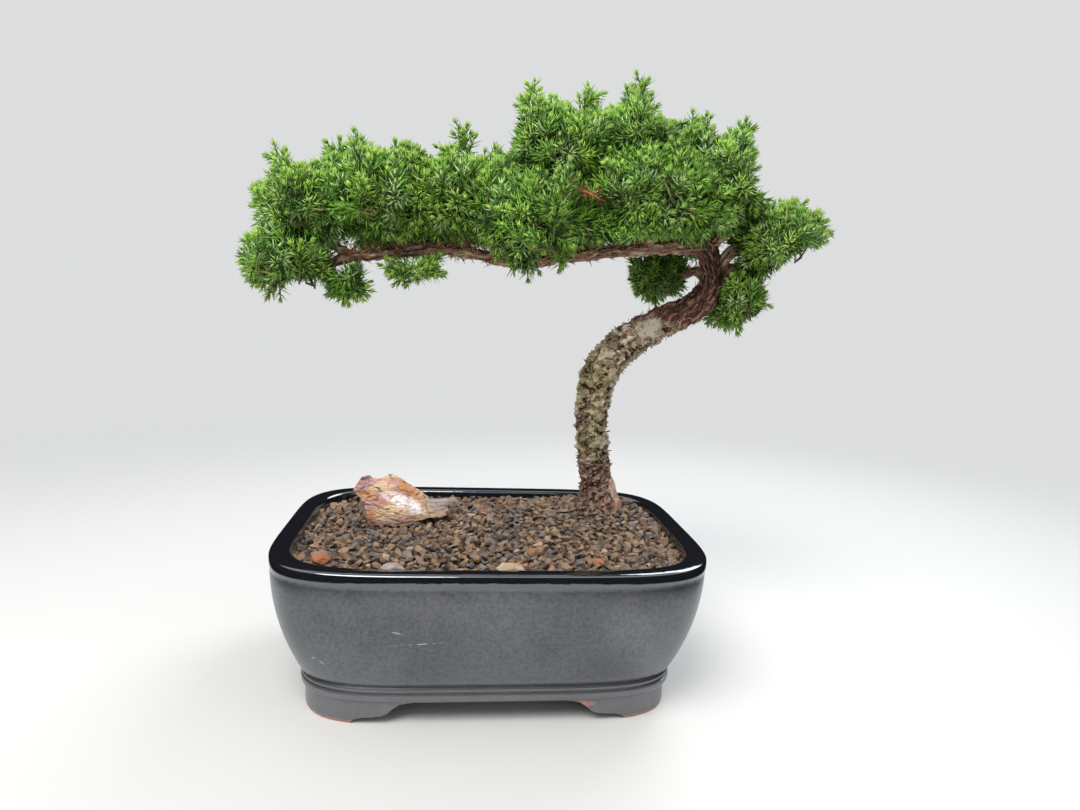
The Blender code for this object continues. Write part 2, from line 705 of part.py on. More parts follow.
def shoots_of(name, limbs):
    """The shoots of one mass by its seeded rule, each with the twig that feeds it."""
    mass = MASSES[name]
    rng = random.Random(name)
    stem = limbs[name + "_stem"]
    heart, half = np.array(mass["middle"], float), np.array(mass["half"], float)
    joints = [row[:3] for row in stem[len(stem) // STEM_BARE:]]
    shoots, ends = [], []
    wanted = [(np.array(tip, float), True) for tip in mass["tips"]]
    for index in range(mass["ways"]):
        height = 1.0 - 2.0 * (index + 0.5) / mass["ways"]
        flat = math.sqrt(1.0 - height * height)
        turn = GOLDEN_TURN * index + len(name)
        way = np.array((flat * math.cos(turn), flat * math.sin(turn), height))
        tip = heart + half * way * SHELLS[index % len(SHELLS)]
        if in_cell(tip[None], TIP_MARGIN, name):
            wanted.append((tip, False))
    for tip, leads in wanted:
        for attempt in range(TRIES):
            bare = 1.0 - max(mass["core"], CORELESS) + rng.uniform(*SHOOT_ROOTED)
            length = bare * np.linalg.norm(tip - heart) * (1.0 - SHORTER * attempt)
            length = min(max(length, SHOOT_LENGTH[0]), SHOOT_LENGTH[1])
            drift = np.array([rng.uniform(-1.0, 1.0) for _ in range(3)]) * WANDER * (1 + attempt)
            outward = towards(heart, tip)
            rise = drift * LEADER_DRIFT if leads else drift + np.array((0.0, 0.0, LIFT))
            lean = outward + rise
            along = lean / np.linalg.norm(lean)
            end = tip if leads else tip + (heart - tip) * PULL * attempt
            if any(np.linalg.norm(end - other) < TIP_SPACING for other in ends):
                continue
            base = end - along * length
            twig_from = min(joints, key=lambda joint: np.linalg.norm(joint - base))
            twig = np.linspace(twig_from, base, TWIG_SPOTS)
            slim = 1.0 - SLIMMER * attempt
            spots = shoot_points(base, along, length, slim)
            reach = np.where(np.arange(len(spots)) < len(SHOOT_SPOTS), SHOOT_CORE, 0.0)
            if not in_cell(np.vstack((spots, twig)), TWIG_RADII[0], name):
                continue
            if not leads and not in_space(spots, name, SPACE_SLACK):
                continue
            if not clear_of_limbs(spots, reach, limbs, name + "_stem"):
                continue
            if not clear_of_limbs(twig, np.full(len(twig), TWIG_RADII[0]), limbs, name + "_stem"):
                continue
            shoots.append((twig_from, base, along, length, slim))
            ends.append(end)
            joints.append(base)
            joints.append(base + along * length * SIDE_JOINT)
            break
    return shoots


def shoot_mesh(base, along, length, slim):
    """A slim three-sided core whose sides are drawn out into needles that sweep forward."""
    bm = bmesh.new()
    bmesh.ops.create_cone(
        bm, cap_ends=True, segments=SHOOT_SIDES, radius1=SHOOT_CORE * MM,
        radius2=SHOOT_CORE * SHOOT_TAPER * MM, depth=length * MM,
    )
    rails = [edge for edge in bm.edges if abs(edge.verts[0].co.z - edge.verts[1].co.z) > MM]
    bmesh.ops.subdivide_edges(bm, edges=rails, cuts=len(NEEDLE_REACH) - 1, use_grid_fill=True)
    low = -length * MM / 2
    for vert in bm.verts:
        turn = SHOOT_TWIST * len(NEEDLE_REACH) * (vert.co.z - low) / (length * MM)
        vert.co = Matrix.Rotation(turn, 3, "Z") @ vert.co
    bm.normal_update()
    sides = [face for face in bm.faces if abs(face.normal.z) < abs(face.normal.xy.length)]
    end = max(bm.faces, key=lambda face: face.normal.z)
    sides.sort(key=lambda face: face.calc_center_median().z)
    for rank, face in enumerate(sides):
        reach = NEEDLE_REACH[rank // SHOOT_SIDES] * slim * MM
        out = face.calc_center_median().xy.normalized()
        needle = bmesh.ops.poke(bm, faces=[face])["verts"][0]
        needle.co += Vector((out.x * reach, out.y * reach, NEEDLE_SWEEP * MM))
    bud = bmesh.ops.poke(bm, faces=[end])["verts"][0]
    bud.co.z += NEEDLE_SWEEP * BUD * MM
    spin = Vector(along).to_track_quat("Z", "Y").to_matrix().to_4x4()
    middle = Matrix.Translation(Vector(base + along * length / 2) * MM)
    bmesh.ops.transform(bm, matrix=middle @ spin, verts=bm.verts)
    return mesh_of("shoot", bm)


def core_mesh(name, limbs):
    """A rough lump inside a dense mass, drawn in wherever it would near a limb or a neighbour."""
    mass = MASSES[name]
    rng = random.Random(name)
    heart, half = np.array(mass["middle"], float), np.array(mass["half"], float)
    bm = bmesh.new()
    bmesh.ops.create_icosphere(bm, subdivisions=2, radius=1.0)
    for vert in bm.verts:
        rough = 1.0 + rng.uniform(-CORE_ROUGHNESS, CORE_ROUGHNESS)
        boxy = sum(abs(axis) ** CORE_POWER for axis in vert.co) ** (-1.0 / CORE_POWER)
        vert.co = Vector(np.array(vert.co) * half * mass["core"] * rough * boxy)
    for face in list(bm.faces):
        out = face.calc_center_median().normalized()
        tuft = bmesh.ops.poke(bm, faces=[face])["verts"][0]
        tuft.co += (out + TUFT_LIFT * Vector((0, 0, 1))) * TUFT_REACH * rng.uniform(*TUFT_SHARE)
    for _ in range(CORE_PASSES):
        crowded = set()
        for face in bm.faces:
            corners = np.array([vert.co for vert in face.verts])
            spots = heart + (WEIGHTS @ corners)[:, None] * CORE_DEPTHS[None, :, None]
            spots = spots.reshape(-1, 3)
            reach = np.full(len(spots), CORE_CLEAR)
            if not in_cell(spots, 0.0, name) or not clear_of_limbs(spots, reach, limbs, name + "_stem"):
                crowded.update(face.verts)
        for vert in crowded:
            vert.co *= CORE_SHRINK
    for vert in bm.verts:
        vert.co = (vert.co + Vector(heart)) * MM
    return mesh_of("core", bm)


def rod_mesh(start, end, thick, thin):
    """A three-sided twig that runs a little past both its ends."""
    along = towards(start, end)
    start, end = start - along * ROOT_SUNK * 0.5, end + along * ROOT_SUNK
    bm = bmesh.new()
    spin = Vector(along).to_track_quat("Z", "Y").to_matrix().to_4x4()
    bmesh.ops.create_cone(
        bm, cap_ends=True, segments=TWIG_SIDES, radius1=thick * MM, radius2=thin * MM,
        depth=float(np.linalg.norm(end - start)) * MM,
        matrix=Matrix.Translation(Vector((start + end) / 2) * MM) @ spin,
    )
    return mesh_of("twig", bm)


def keep_outer_skin(mesh):
    """Drops all but the largest connected skin, so sealed hollows fill and loose scraps go."""
    bm = bmesh.new()
    bm.from_mesh(mesh)
    waiting = set(bm.faces)
    skins = []
    while waiting:
        skin = {waiting.pop()}
        rim = list(skin)
        while rim:
            face = rim.pop()
            seams = [edge for edge in face.edges if len(edge.link_faces) == 2]
            fresh = {other for edge in seams for other in edge.link_faces} - skin
            skin |= fresh
            rim += fresh
        waiting -= skin
        skins.append(skin)
    skins.sort(key=len)
    for skin in skins[:-1]:
        bmesh.ops.delete(bm, geom=list(skin), context="FACES")
    bm.to_mesh(mesh)
    bm.free()


def make_mass(name, parts, limbs, leaf):
    """One foliage mass: stem, twigs and shoots joined into one solid."""
    stem = limbs[name + "_stem"]
    rings = []
    for index, (x, y, z, radius) in enumerate(stem):
        along = towards(stem[max(index - 1, 0)][:3], stem[min(index + 1, len(stem) - 1)][:3])
        side, across = cross_frame(along)
        ring = []
        for corner in range(STEM_SIDES):
            turn = 2 * math.pi * corner / STEM_SIDES
            out = side * math.cos(turn) + across * math.sin(turn)
            ring.append(np.array((x, y, z)) + out * radius)
        rings.append(ring)
    whole = place(name, loft(name, rings), parts, leaf)
    growth = new_collection(name + "_growth")
    if MASSES[name]["core"]:
        place(name + "_core", core_mesh(name, limbs), growth)
    for number, (twig_from, base, *way) in enumerate(shoots_of(name, limbs)):
        place(f"{name}_shoot_{number}", shoot_mesh(base, *way), growth)
        if np.linalg.norm(base - twig_from) > TWIG_SHORTEST:
            place(f"{name}_twig_{number}", rod_mesh(twig_from, base, *TWIG_RADII), growth)
    join = whole.modifiers.new("Join growth", "BOOLEAN")
    join.operation = "UNION"
    join.operand_type = "COLLECTION"
    join.collection = growth
    join.solver = "MANIFOLD"
    bpy.context.view_layer.update()
    graph = bpy.context.evaluated_depsgraph_get()
    joined = bpy.data.meshes.new_from_object(whole.evaluated_get(graph))
    whole.modifiers.clear()
    keep_outer_skin(joined)
    whole.data = joined
    for piece in list(growth.objects):
        bpy.data.objects.remove(piece, do_unlink=True)
    bpy.data.collections.remove(growth)


def stand_on_origin(parts, cutters):
    """Parents every piece to one empty and moves it so the origin is under the box's middle."""
    holder = bpy.data.objects.new("bonsai", None)
    parts.objects.link(holder)
    for piece in list(parts.objects) + list(cutters.objects):
        if piece is not holder:
            piece.parent = holder
    bpy.context.view_layer.update()
    graph = bpy.context.evaluated_depsgraph_get()
    corners = []
    for piece in parts.objects:
        if piece.type != "EMPTY":
            shaped = piece.evaluated_get(graph)
            corners += [shaped.matrix_world @ Vector(corner) for corner in shaped.bound_box]
    low = [min(corner[axis] for corner in corners) for axis in range(3)]
    high = [max(corner[axis] for corner in corners) for axis in range(3)]
    holder.location = (-(low[0] + high[0]) / 2, -(low[1] + high[1]) / 2, -low[2])


def build():
    clear_scene()
    parts = new_collection("juniper_bonsai")
    cutters = new_collection("cutters")
    make_pot(parts, cutters)
    stone = make_stone(parts)
    make_soil(parts, cutters, stone)
    limbs = {"trunk": make_trunk(parts)}
    make_boughs(parts, limbs)
    for name, mass in MASSES.items():
        limbs[name + "_stem"] = mass_stem(mass, limbs)
    leaf = finish("juniper_needles", JUNIPER_GREEN, 0.6)
    for name in MASSES:
        make_mass(name, parts, limbs, leaf)
    stand_on_origin(parts, cutters)


build()
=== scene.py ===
"""The looks of a juniper bonsai in a glazed oblong pot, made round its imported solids.

Layout sizes are in millimetres from the middle of the pot's foot print, as the solids were
laid out, with +X to the right and +Y away from the camera.
"""

import functools
import json
import math
import random

import bmesh
import bpy
import numpy as np
from mathutils import Matrix, Vector, noise
from mathutils.bvhtree import BVHTree

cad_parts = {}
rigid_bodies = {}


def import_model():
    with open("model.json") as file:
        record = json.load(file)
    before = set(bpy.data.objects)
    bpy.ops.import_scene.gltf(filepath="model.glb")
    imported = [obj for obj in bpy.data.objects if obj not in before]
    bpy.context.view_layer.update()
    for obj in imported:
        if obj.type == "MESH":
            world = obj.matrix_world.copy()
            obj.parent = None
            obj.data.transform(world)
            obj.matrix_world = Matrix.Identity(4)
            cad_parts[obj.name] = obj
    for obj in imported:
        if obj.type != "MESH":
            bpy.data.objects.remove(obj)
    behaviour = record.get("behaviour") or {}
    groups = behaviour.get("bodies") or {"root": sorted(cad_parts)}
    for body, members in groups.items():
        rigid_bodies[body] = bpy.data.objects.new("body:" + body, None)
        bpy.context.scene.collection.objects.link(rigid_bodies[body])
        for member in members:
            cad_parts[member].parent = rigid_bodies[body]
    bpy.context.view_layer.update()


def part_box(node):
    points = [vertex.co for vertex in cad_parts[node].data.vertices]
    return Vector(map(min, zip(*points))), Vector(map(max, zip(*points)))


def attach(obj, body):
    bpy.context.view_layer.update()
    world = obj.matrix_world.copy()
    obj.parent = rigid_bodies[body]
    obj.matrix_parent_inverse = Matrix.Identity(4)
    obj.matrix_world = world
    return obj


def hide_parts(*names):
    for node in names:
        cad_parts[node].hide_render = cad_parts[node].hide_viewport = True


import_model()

MM = 0.001
pot_low, pot_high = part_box("pot")
HOME = Vector(((pot_low.x + pot_high.x) / 2, (pot_low.y + pot_high.y) / 2, 0.0))

# Camera
# A compact camera held 40 cm from the pot, a little above its rim, turned slightly to the
# right, looking down a little and not quite level.
CAMERA_AT = (-20.6, -405.7, 199.1)
CAMERA_YAW = 6.4
CAMERA_PITCH = 7.5
CAMERA_ROLL = 2.43
CAMERA_LENS = 25.33

lens = bpy.data.cameras.new("camera")
lens.sensor_width = 36.0
lens.lens = CAMERA_LENS
lens.clip_start = 0.01
camera = bpy.data.objects.new("camera", lens)
bpy.context.scene.collection.objects.link(camera)
camera.matrix_world = (
    Matrix.Translation(HOME + Vector(CAMERA_AT) * MM)
    @ Matrix.Rotation(math.radians(-CAMERA_YAW), 4, "Z")
    @ Matrix.Rotation(math.radians(90.0 - CAMERA_PITCH), 4, "X")
    @ Matrix.Rotation(math.radians(CAMERA_ROLL), 4, "Z")
)
bpy.context.scene.camera = camera

# Light
# An even pale studio with one wide lamp over the viewer's left shoulder and a weaker one from
# behind. What shines sees black cards round the horizon and the bright ceiling over them.
SKY_TOP = (0.93, 0.96, 1.0)
SKY_LOW = (0.42, 0.43, 0.45)
SKY_SEEN = (0.72, 0.725, 0.73)
SKY_STRENGTH = 0.80
SKY_RISE = (-0.05, 0.75)
CARDS_END = (0.55, 0.72)
CARD = (0.012, 0.012, 0.014)
CEILING = (1.15, 1.18, 1.22)
LAMPS = (
    ("key_lamp", (-330, -600, 940), 700, 11.5, (1.0, 0.98, 0.94)),
    ("rim_lamp", (520, 560, 760), 600, 5.0, (0.95, 0.98, 1.0)),
)

bpy.context.scene.view_settings.view_transform = "Standard"


def node(tree, kind, inputs=(), **settings):
    """A node with these settings; each input takes a value or another node's output."""
    made = tree.nodes.new(kind if "Node" in kind else "ShaderNode" + kind)
    for name, value in settings.items():
        setattr(made, name, value)
    for socket, value in dict(inputs).items():
        if isinstance(value, bpy.types.NodeSocket):
            tree.links.new(value, made.inputs[socket])
        else:
            made.inputs[socket].default_value = value
    return made


def ramp(value, low, high, kind="LINEAR"):
    """A mask that climbs from 0 at low to 1 at high."""
    made = node(value.id_data, "MapRange", {0: value, 1: low, 2: high}, interpolation_type=kind)
    return made.outputs[0]


def mixed(mask, low, high):
    """The colour between two, which may be plain or another node's output."""
    ends = [end if isinstance(end, bpy.types.NodeSocket) else (*end, 1.0) for end in (low, high)]
    return node(mask.id_data, "Mix", {0: mask, 6: ends[0], 7: ends[1]}, data_type="RGBA").outputs[2]


def joined(mask, low, high):
    """One shader where the mask is 0 and another where it is 1."""
    return node(mask.id_data, "MixShader", {0: mask, 1: low.outputs[0], 2: high.outputs[0]})


sky = bpy.data.worlds.new("sky")
sky.use_nodes = True
bpy.context.scene.world = sky
tree = sky.node_tree
tree.nodes.clear()
height = node(tree, "SeparateXYZ", {0: node(tree, "TexCoord").outputs["Generated"]}).outputs["Z"]
shade = mixed(ramp(height, *SKY_RISE, "SMOOTHSTEP"), SKY_LOW, SKY_TOP)
shine = mixed(ramp(height, *CARDS_END, "SMOOTHSTEP"), CARD, CEILING)
rays = node(tree, "LightPath").outputs
given = node(tree, "Background", {"Color": shade, "Strength": SKY_STRENGTH})
mirrored = node(tree, "Background", {"Color": shine})
seen = node(tree, "Background", {"Color": (*SKY_SEEN, 1.0)})
lit = joined(rays["Is Glossy Ray"], given, mirrored)
node(tree, "OutputWorld", {0: joined(rays["Is Camera Ray"], lit, seen).outputs[0]})

for name, where, width, power, colour in LAMPS:
    light = bpy.data.lights.new(name, "AREA")
    light.shape = "DISK"
    light.size = width * MM
    light.energy = power
    light.color = colour
    lamp = bpy.data.objects.new(name, light)
    bpy.context.scene.collection.objects.link(lamp)
    lamp.location = HOME + Vector(where) * MM
    aim = HOME + Vector((0, 0, 150)) * MM - lamp.location
    lamp.rotation_euler = aim.to_track_quat("-Z", "Y").to_euler()

# Floor
# A plain pale table top, wide enough to run out of sight, that fades into the wall behind it.
FLOOR_RADIUS = 6000
FLOOR_PALE = (0.69, 0.686, 0.672)
FLOOR_FADE = (260, 1000)
# Distances past which the floor shows the card colour to reflected rays only: a painted dark reflection
# for the glaze
DARK_REFLECTION_SPAN = (252, 264)


def finish(name, roughness, colour=(0.5, 0.5, 0.5)):
    """A plain Principled material; returns it, its tree and its shader."""
    material = bpy.data.materials.new(name)
    material.use_nodes = True
    shader = material.node_tree.nodes["Principled BSDF"]
    shader.inputs["Base Color"].default_value = (*colour, 1.0)
    shader.inputs["Roughness"].default_value = roughness
    return material, material.node_tree, shader


def joined_by(operation, first, second):
    """Two masks in one clamped sum, in the tree that either belongs to."""
    tree = next(end.id_data for end in (first, second) if isinstance(end, bpy.types.NodeSocket))
    made = node(tree, "Math", {0: first, 1: second}, operation=operation)
    made.use_clamp = True
    return made.outputs[0]


times = functools.partial(joined_by, "MULTIPLY")
plus = functools.partial(joined_by, "ADD")
minus = functools.partial(joined_by, "SUBTRACT")
most = functools.partial(joined_by, "MAXIMUM")


def place(name, mesh, *materials):
    piece = bpy.data.objects.new(name, mesh)
    bpy.context.scene.collection.objects.link(piece)
    for material in materials:
        mesh.materials.append(material)
    return piece


def mesh_of(bm, name):
    """The finished mesh of a work mesh, which goes."""
    mesh = bpy.data.meshes.new(name)
    bm.to_mesh(mesh)
    bm.free()
    return mesh


bm = bmesh.new()
bmesh.ops.create_circle(
    bm, cap_ends=True, radius=FLOOR_RADIUS * MM, segments=64, matrix=Matrix.Translation(HOME),
)
table_top, tree, shader = finish("table_top", 0.6, FLOOR_PALE)
ends = {0: node(tree, "TexCoord").outputs["Object"], 1: HOME}
out = node(tree, "VectorMath", ends, operation="DISTANCE").outputs["Value"]
spans = FLOOR_FADE, DARK_REFLECTION_SPAN
fade, dark_reflection = [ramp(out, near * MM, far * MM, "SMOOTHSTEP") for near, far in spans]
far_off = node(tree, "Emission", {"Color": (*SKY_SEEN, 1.0)})
card = node(tree, "Emission", {"Color": (*CARD, 1.0)})
# Only reflected rays see the card colour out here: painted dark reflection, no card stands there
mirrored = times(dark_reflection, node(tree, "LightPath").outputs["Is Glossy Ray"])
surface = joined(mirrored, joined(fade, shader, far_off), card)
tree.links.new(surface.outputs[0], tree.nodes["Material Output"].inputs["Surface"])
floor = place("floor", mesh_of(bm, "floor"), table_top)

# Pot
# A slip-cast oblong pot under a gunmetal glaze, with a flat rim, bellied walls, a beaded base
# and four corner feet whose undersides are wiped back to the bare clay.
POT_LENGTH = 216.0
POT_DEPTH = 164.0
POT_HEIGHT = 79.0
CORNER_POWER = 4.9
POT_SEGMENTS = 192
RIM_HEIGHT = 5.2
RIM_STEP = 0.35
RIM_ROLL = (
    (0.3, -0.05), (0.08, 0.06), (0.0, 0.2), (0.0, 0.68), (0.1, 0.84), (0.42, 0.94), (1.1, 1.0),
)
RIM_EDGE = ((7.8, 1.0), (8.6, 0.94), (9.1, 0.8))
WALL = 5.0
FLOOR_TOP = 19.5
INNER_SLOPE = ((9.7, 0.5), (10.3, 0.1), (10.8, -0.4), (11.0, -1.2))
INNER_LEVELS = (60.0, 40.0, 24.0)
BASE_INSET = 13.4
BAND_TOP = 20.0
BAND_BOTTOM = 11.5
BELLY_POWER = 2.0
BELLY_STEPS = 26
BASE_BEADS = (
    (4.0, 0.0), (1.6, 0.15), (0.7, 0.7), (0.25, 1.8), (0.1, 3.2), (0.35, 4.2), (1.25, 4.7),
    (1.2, 5.2), (0.45, 5.7), (0.15, 6.5), (0.3, 7.3), (0.95, 7.9), (1.05, 8.4), (0.45, 9.0),
)
FOOT_INSET = 15.5
FOOT_ROLL = ((1.2, 0.0), (0.5, 0.3), (0.1, 0.9), (0.0, 2.0))
FOOT_THICKNESS = 9.5
FOOT_LONG_GAP = 66.0
FOOT_SIDE_GAP = 40.0
FOOT_OGEE = (
    (0.0, 0.0), (0.6, 1.2), (2.0, 2.2), (5.5, 3.3), (10.0, 3.7), (15.0, 4.5), (17.5, 5.8),
    (20.0, 8.2), (23.0, 10.2), (28.0, 11.2), (34.0, 11.5),
)
DRAIN_RADIUS = 8.0
DRAIN_APART = 84.0
GUNMETAL = (0.036, 0.040, 0.047)
GUNMETAL_DARK = (0.008, 0.0085, 0.011)
GLAZE_BROWN = (0.045, 0.030, 0.028)
FOOT_GLAZE_AND_REFLECTION = (0.085, 0.080, 0.084)
GLAZE_COOL = (0.88, 0.94, 1.0)
SCRATCHES = (
    ((-44.1, -80.0, 51.6), (3.6, 7.0, 0.35), 12.0), ((-33.4, -79.5, 45.7), (11.0, 7.0, 0.3), -4.0),
    ((-77.9, -74.0, 33.0), (1.3, 7.0, 0.5), 24.0), ((-82.0, -72.0, 35.0), (0.9, 9.0, 0.6), -30.0),
)
PALE_FLECK = (0.42, 0.38, 0.34)
BARE_CLAY = (0.50, 0.19, 0.11)
CHIP_AT = (44.8, -66.0, 9.4)
CHIP_HALF = (5.0, 6.0, 1.5)


def skin(name, rings, tones=None, looped=False):
    """A tube through rings of points in millimetres, with each point's tone kept on its mesh."""
    rings = np.asarray(rings, float)
    count, sides = rings.shape[:2]
    points = rings.reshape(-1, 3) * MM + np.array(HOME)
    rows = np.arange(count if looped else count - 1)[:, None] * sides
    around = np.arange(sides)
    ahead = (around + 1) % sides
    above = (rows + sides) % (count * sides)
    quads = np.stack((rows + around, rows + ahead, above + ahead, above + around), -1).reshape(-1, 4)
    faces = quads.tolist()
    if not looped:
        faces += [around[::-1].tolist(), (around + (count - 1) * sides).tolist()]
    mesh = bpy.data.meshes.new(name)
    mesh.from_pydata(points.tolist(), [], faces)
    if tones is not None:
        tone = mesh.attributes.new("tone", "FLOAT", "POINT")
        tone.data.foreach_set("value", np.asarray(tones, np.float32).ravel())
    bm = bmesh.new()
    bm.from_mesh(mesh)
    bmesh.ops.recalc_face_normals(bm, faces=bm.faces)
    bm.to_mesh(mesh)
    bm.free()
    mesh.shade_smooth()
    return mesh


def tub_ring(inset, level):
    """The pot's plan at one level: an oblong with generous round corners."""
    turn = 2 * math.pi * (np.arange(POT_SEGMENTS) + 0.5) / POT_SEGMENTS
    across, along = np.cos(turn), np.sin(turn)
    x = np.sign(across) * np.abs(across) ** (2 / CORNER_POWER) * (POT_LENGTH / 2 - inset)
    y = np.sign(along) * np.abs(along) ** (2 / CORNER_POWER) * (POT_DEPTH / 2 - inset)
    return np.stack((x, y, np.full(POT_SEGMENTS, level)), -1)


def belly_inset(level):
    top = POT_HEIGHT - RIM_HEIGHT
    down = max(0.0, (top - level) / (top - BAND_TOP))
    return RIM_STEP + (BASE_INSET - RIM_STEP) * down**BELLY_POWER


def boolean(target, other, operation):
    modifier = target.modifiers.new(other.name, "BOOLEAN")
    modifier.operation = operation
    modifier.object = other
    modifier.solver = "EXACT"


def baked(thing, name):
    """What the object's modifiers make of it, as a plain mesh; the object itself goes."""
    graph = bpy.context.evaluated_depsgraph_get()
    mesh = bpy.data.meshes.new_from_object(thing.evaluated_get(graph))
    mesh.name = name
    bpy.data.objects.remove(thing, do_unlink=True)
    return mesh


def settle(piece, slot, *nodes):
    """A finished piece rides with the plant and stands for these solids; slot is not used."""
    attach(piece, "root")
    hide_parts(*nodes)
    return piece


def group_of(name, kind, inputs, outcome):
    """An empty group of nodes; returns it, the outputs of its start and the input of its end."""
    group = bpy.data.node_groups.new(name, kind)
    for label, value_kind in inputs.items():
        group.interface.new_socket(label, in_out="INPUT", socket_type="NodeSocket" + value_kind)
    group.interface.new_socket("Result", in_out="OUTPUT", socket_type="NodeSocket" + outcome)
    start, end = group.nodes.new("NodeGroupInput"), group.nodes.new("NodeGroupOutput")
    return group, start.outputs, end.inputs[0]


MOTTLE, given, mask = group_of("mottle", "ShaderNodeTree", {
    "Scale": "Float", "Detail": "Float", "From": "Float", "To": "Float", "Stretch": "Vector",
    "Twist": "Float",
}, "Float")
own = node(MOTTLE, "TexCoord").outputs["Object"]
cloud = node(MOTTLE, "TexNoise", {
    "Vector": node(MOTTLE, "Mapping", {"Vector": own, "Scale": given["Stretch"]}).outputs[0],
    "Scale": given["Scale"], "Detail": given["Detail"], "Distortion": given["Twist"],
})
MOTTLE.links.new(ramp(cloud.outputs[0], given["From"], given["To"], "SMOOTHSTEP"), mask)


def mottle(tree, scale, low, high, detail=4.0, stretch=(1.0, 1.0, 1.0), twist=0.0):
    """A blotch mask that is 0 below low and 1 above high, on the piece's own coordinates."""
    values = dict(enumerate((scale, detail, low, high, stretch, twist)))
    return node(tree, "Group", values, node_tree=MOTTLE).outputs[0]


def height_mask(tree, low, high):
    """A mask that climbs from 0 to 1 between two heights."""
    where = node(tree, "SeparateXYZ", {0: node(tree, "TexCoord").outputs["Object"]})
    return ramp(where.outputs["Z"], low * MM, high * MM)


def feed(shader, socket, value):
    shader.id_data.links.new(value, shader.inputs[socket])


def bump(shader, height, distance):
    values = {"Height": height, "Distance": distance * MM}
    feed(shader, "Normal", node(shader.id_data, "Bump", values).outputs[0])


def patch(tree, middle, half, soft=0.25, tilt=0.0):
    """A mask that is 1 inside an ellipsoid given in millimetres and 0 outside it."""
    turned = node(tree, "Mapping", {
        "Vector": node(tree, "TexCoord").outputs["Object"],
        "Location": HOME + Vector(middle) * MM, "Rotation": (0.0, math.radians(tilt), 0.0),
        "Scale": Vector(half) * MM,
    }, vector_type="TEXTURE")
    away = node(tree, "VectorMath", {0: turned.outputs[0]}, operation="LENGTH").outputs["Value"]
    return ramp(away, 1.0 + soft, 1.0 - soft)


def glaze():
    """Gunmetal glaze that breaks darker and browner in places, with flecks and a bare foot."""
    material, tree, shader = finish("gunmetal_glaze", 0.12)
    wall = minus(1.0, height_mask(tree, 71.5, 74))
    clouds = times(mottle(tree, 26, 0.36, 0.64, 7.0), wall)
    freckles = times(mottle(tree, 640, 0.40, 0.64, 6.0), wall)
    # Above the wall the rim takes the dark colour all over: a painted dark reflection
    body = mixed(minus(wall, clouds), GUNMETAL_DARK, GUNMETAL)
    body = mixed(times(freckles, 0.6), body, GUNMETAL_DARK)
    # Paler towards the foot: partly thinner glaze, partly a painted reflection of the pale table
    base = minus(1.0, height_mask(tree, 18, 26))
    body = mixed(times(base, 0.8), body, FOOT_GLAZE_AND_REFLECTION)
    runs = times(mottle(tree, 60, 0.54, 0.72, 3.0, (1.0, 1.0, 0.2)), wall)
    body = mixed(times(runs, 0.7), body, GLAZE_BROWN)
    flecks = mottle(tree, 460, 0.74, 0.78, 2.0, (0.6, 1.0, 1.6))
    low_wall = minus(1.0, height_mask(tree, 24, 62))
    marks = times(flecks, plus(low_wall, 0.15))
    marks = times(marks, 0.6)
    for middle, half, tilt in SCRATCHES:
        broken = times(mottle(tree, 330, 0.40, 0.62, 3.0), 0.8)
        scratch = times(patch(tree, middle, half, 0.5, tilt), broken)
        marks = most(marks, scratch)
    body = mixed(marks, body, PALE_FLECK)
    ragged = mottle(tree, 260, 0.3, 0.7, 3.0)
    foot_edge = minus(1.0, height_mask(tree, 0.7, 1.9))
    bare = times(foot_edge, plus(ragged, 0.5))
    chip = times(patch(tree, CHIP_AT, CHIP_HALF), plus(ragged, 0.6))
    bare = most(bare, chip)
    feed(shader, "Base Color", mixed(bare, body, BARE_CLAY))
    dull = node(tree, "MapRange", {0: wall, 3: 0.07, 4: 0.27}).outputs[0]
    worn = plus(dull, times(bare, 0.6))
    blotched = times(clouds, 0.30)
    broken = plus(times(freckles, 0.70), blotched)
    sheen = node(tree, "MapRange", {0: broken, 3: 0.62, 4: 0.44})
    feed(shader, "Specular IOR Level", sheen.outputs[0])
    shader.inputs["Specular Tint"].default_value = (*GLAZE_COOL, 1.0)
    feed(shader, "Roughness", worn)
    shader.inputs["IOR"].default_value = 2.15
    orange_peel = plus(mottle(tree, 150, 0.2, 0.8, 3.0), marks)
    bump(shader, orange_peel, 0.05)
    return material


profile = [(BASE_INSET + inset, BAND_BOTTOM + up) for inset, up in BASE_BEADS]
wall_foot, wall_top = BAND_BOTTOM + BASE_BEADS[-1][1] + 0.6, POT_HEIGHT - RIM_HEIGHT - 0.6
for level in np.linspace(wall_foot, wall_top, BELLY_STEPS):
    profile.append((belly_inset(level), level))
for inset, share in RIM_ROLL + RIM_EDGE + INNER_SLOPE:
    profile.append((inset, POT_HEIGHT - RIM_HEIGHT * (1.0 - share)))
profile += [(belly_inset(level) + 2 * WALL, level) for level in INNER_LEVELS]
profile.append((belly_inset(FLOOR_TOP) + 3 * WALL, FLOOR_TOP))
cup = place("cup", skin("cup", [tub_ring(inset, level) for inset, level in profile]))

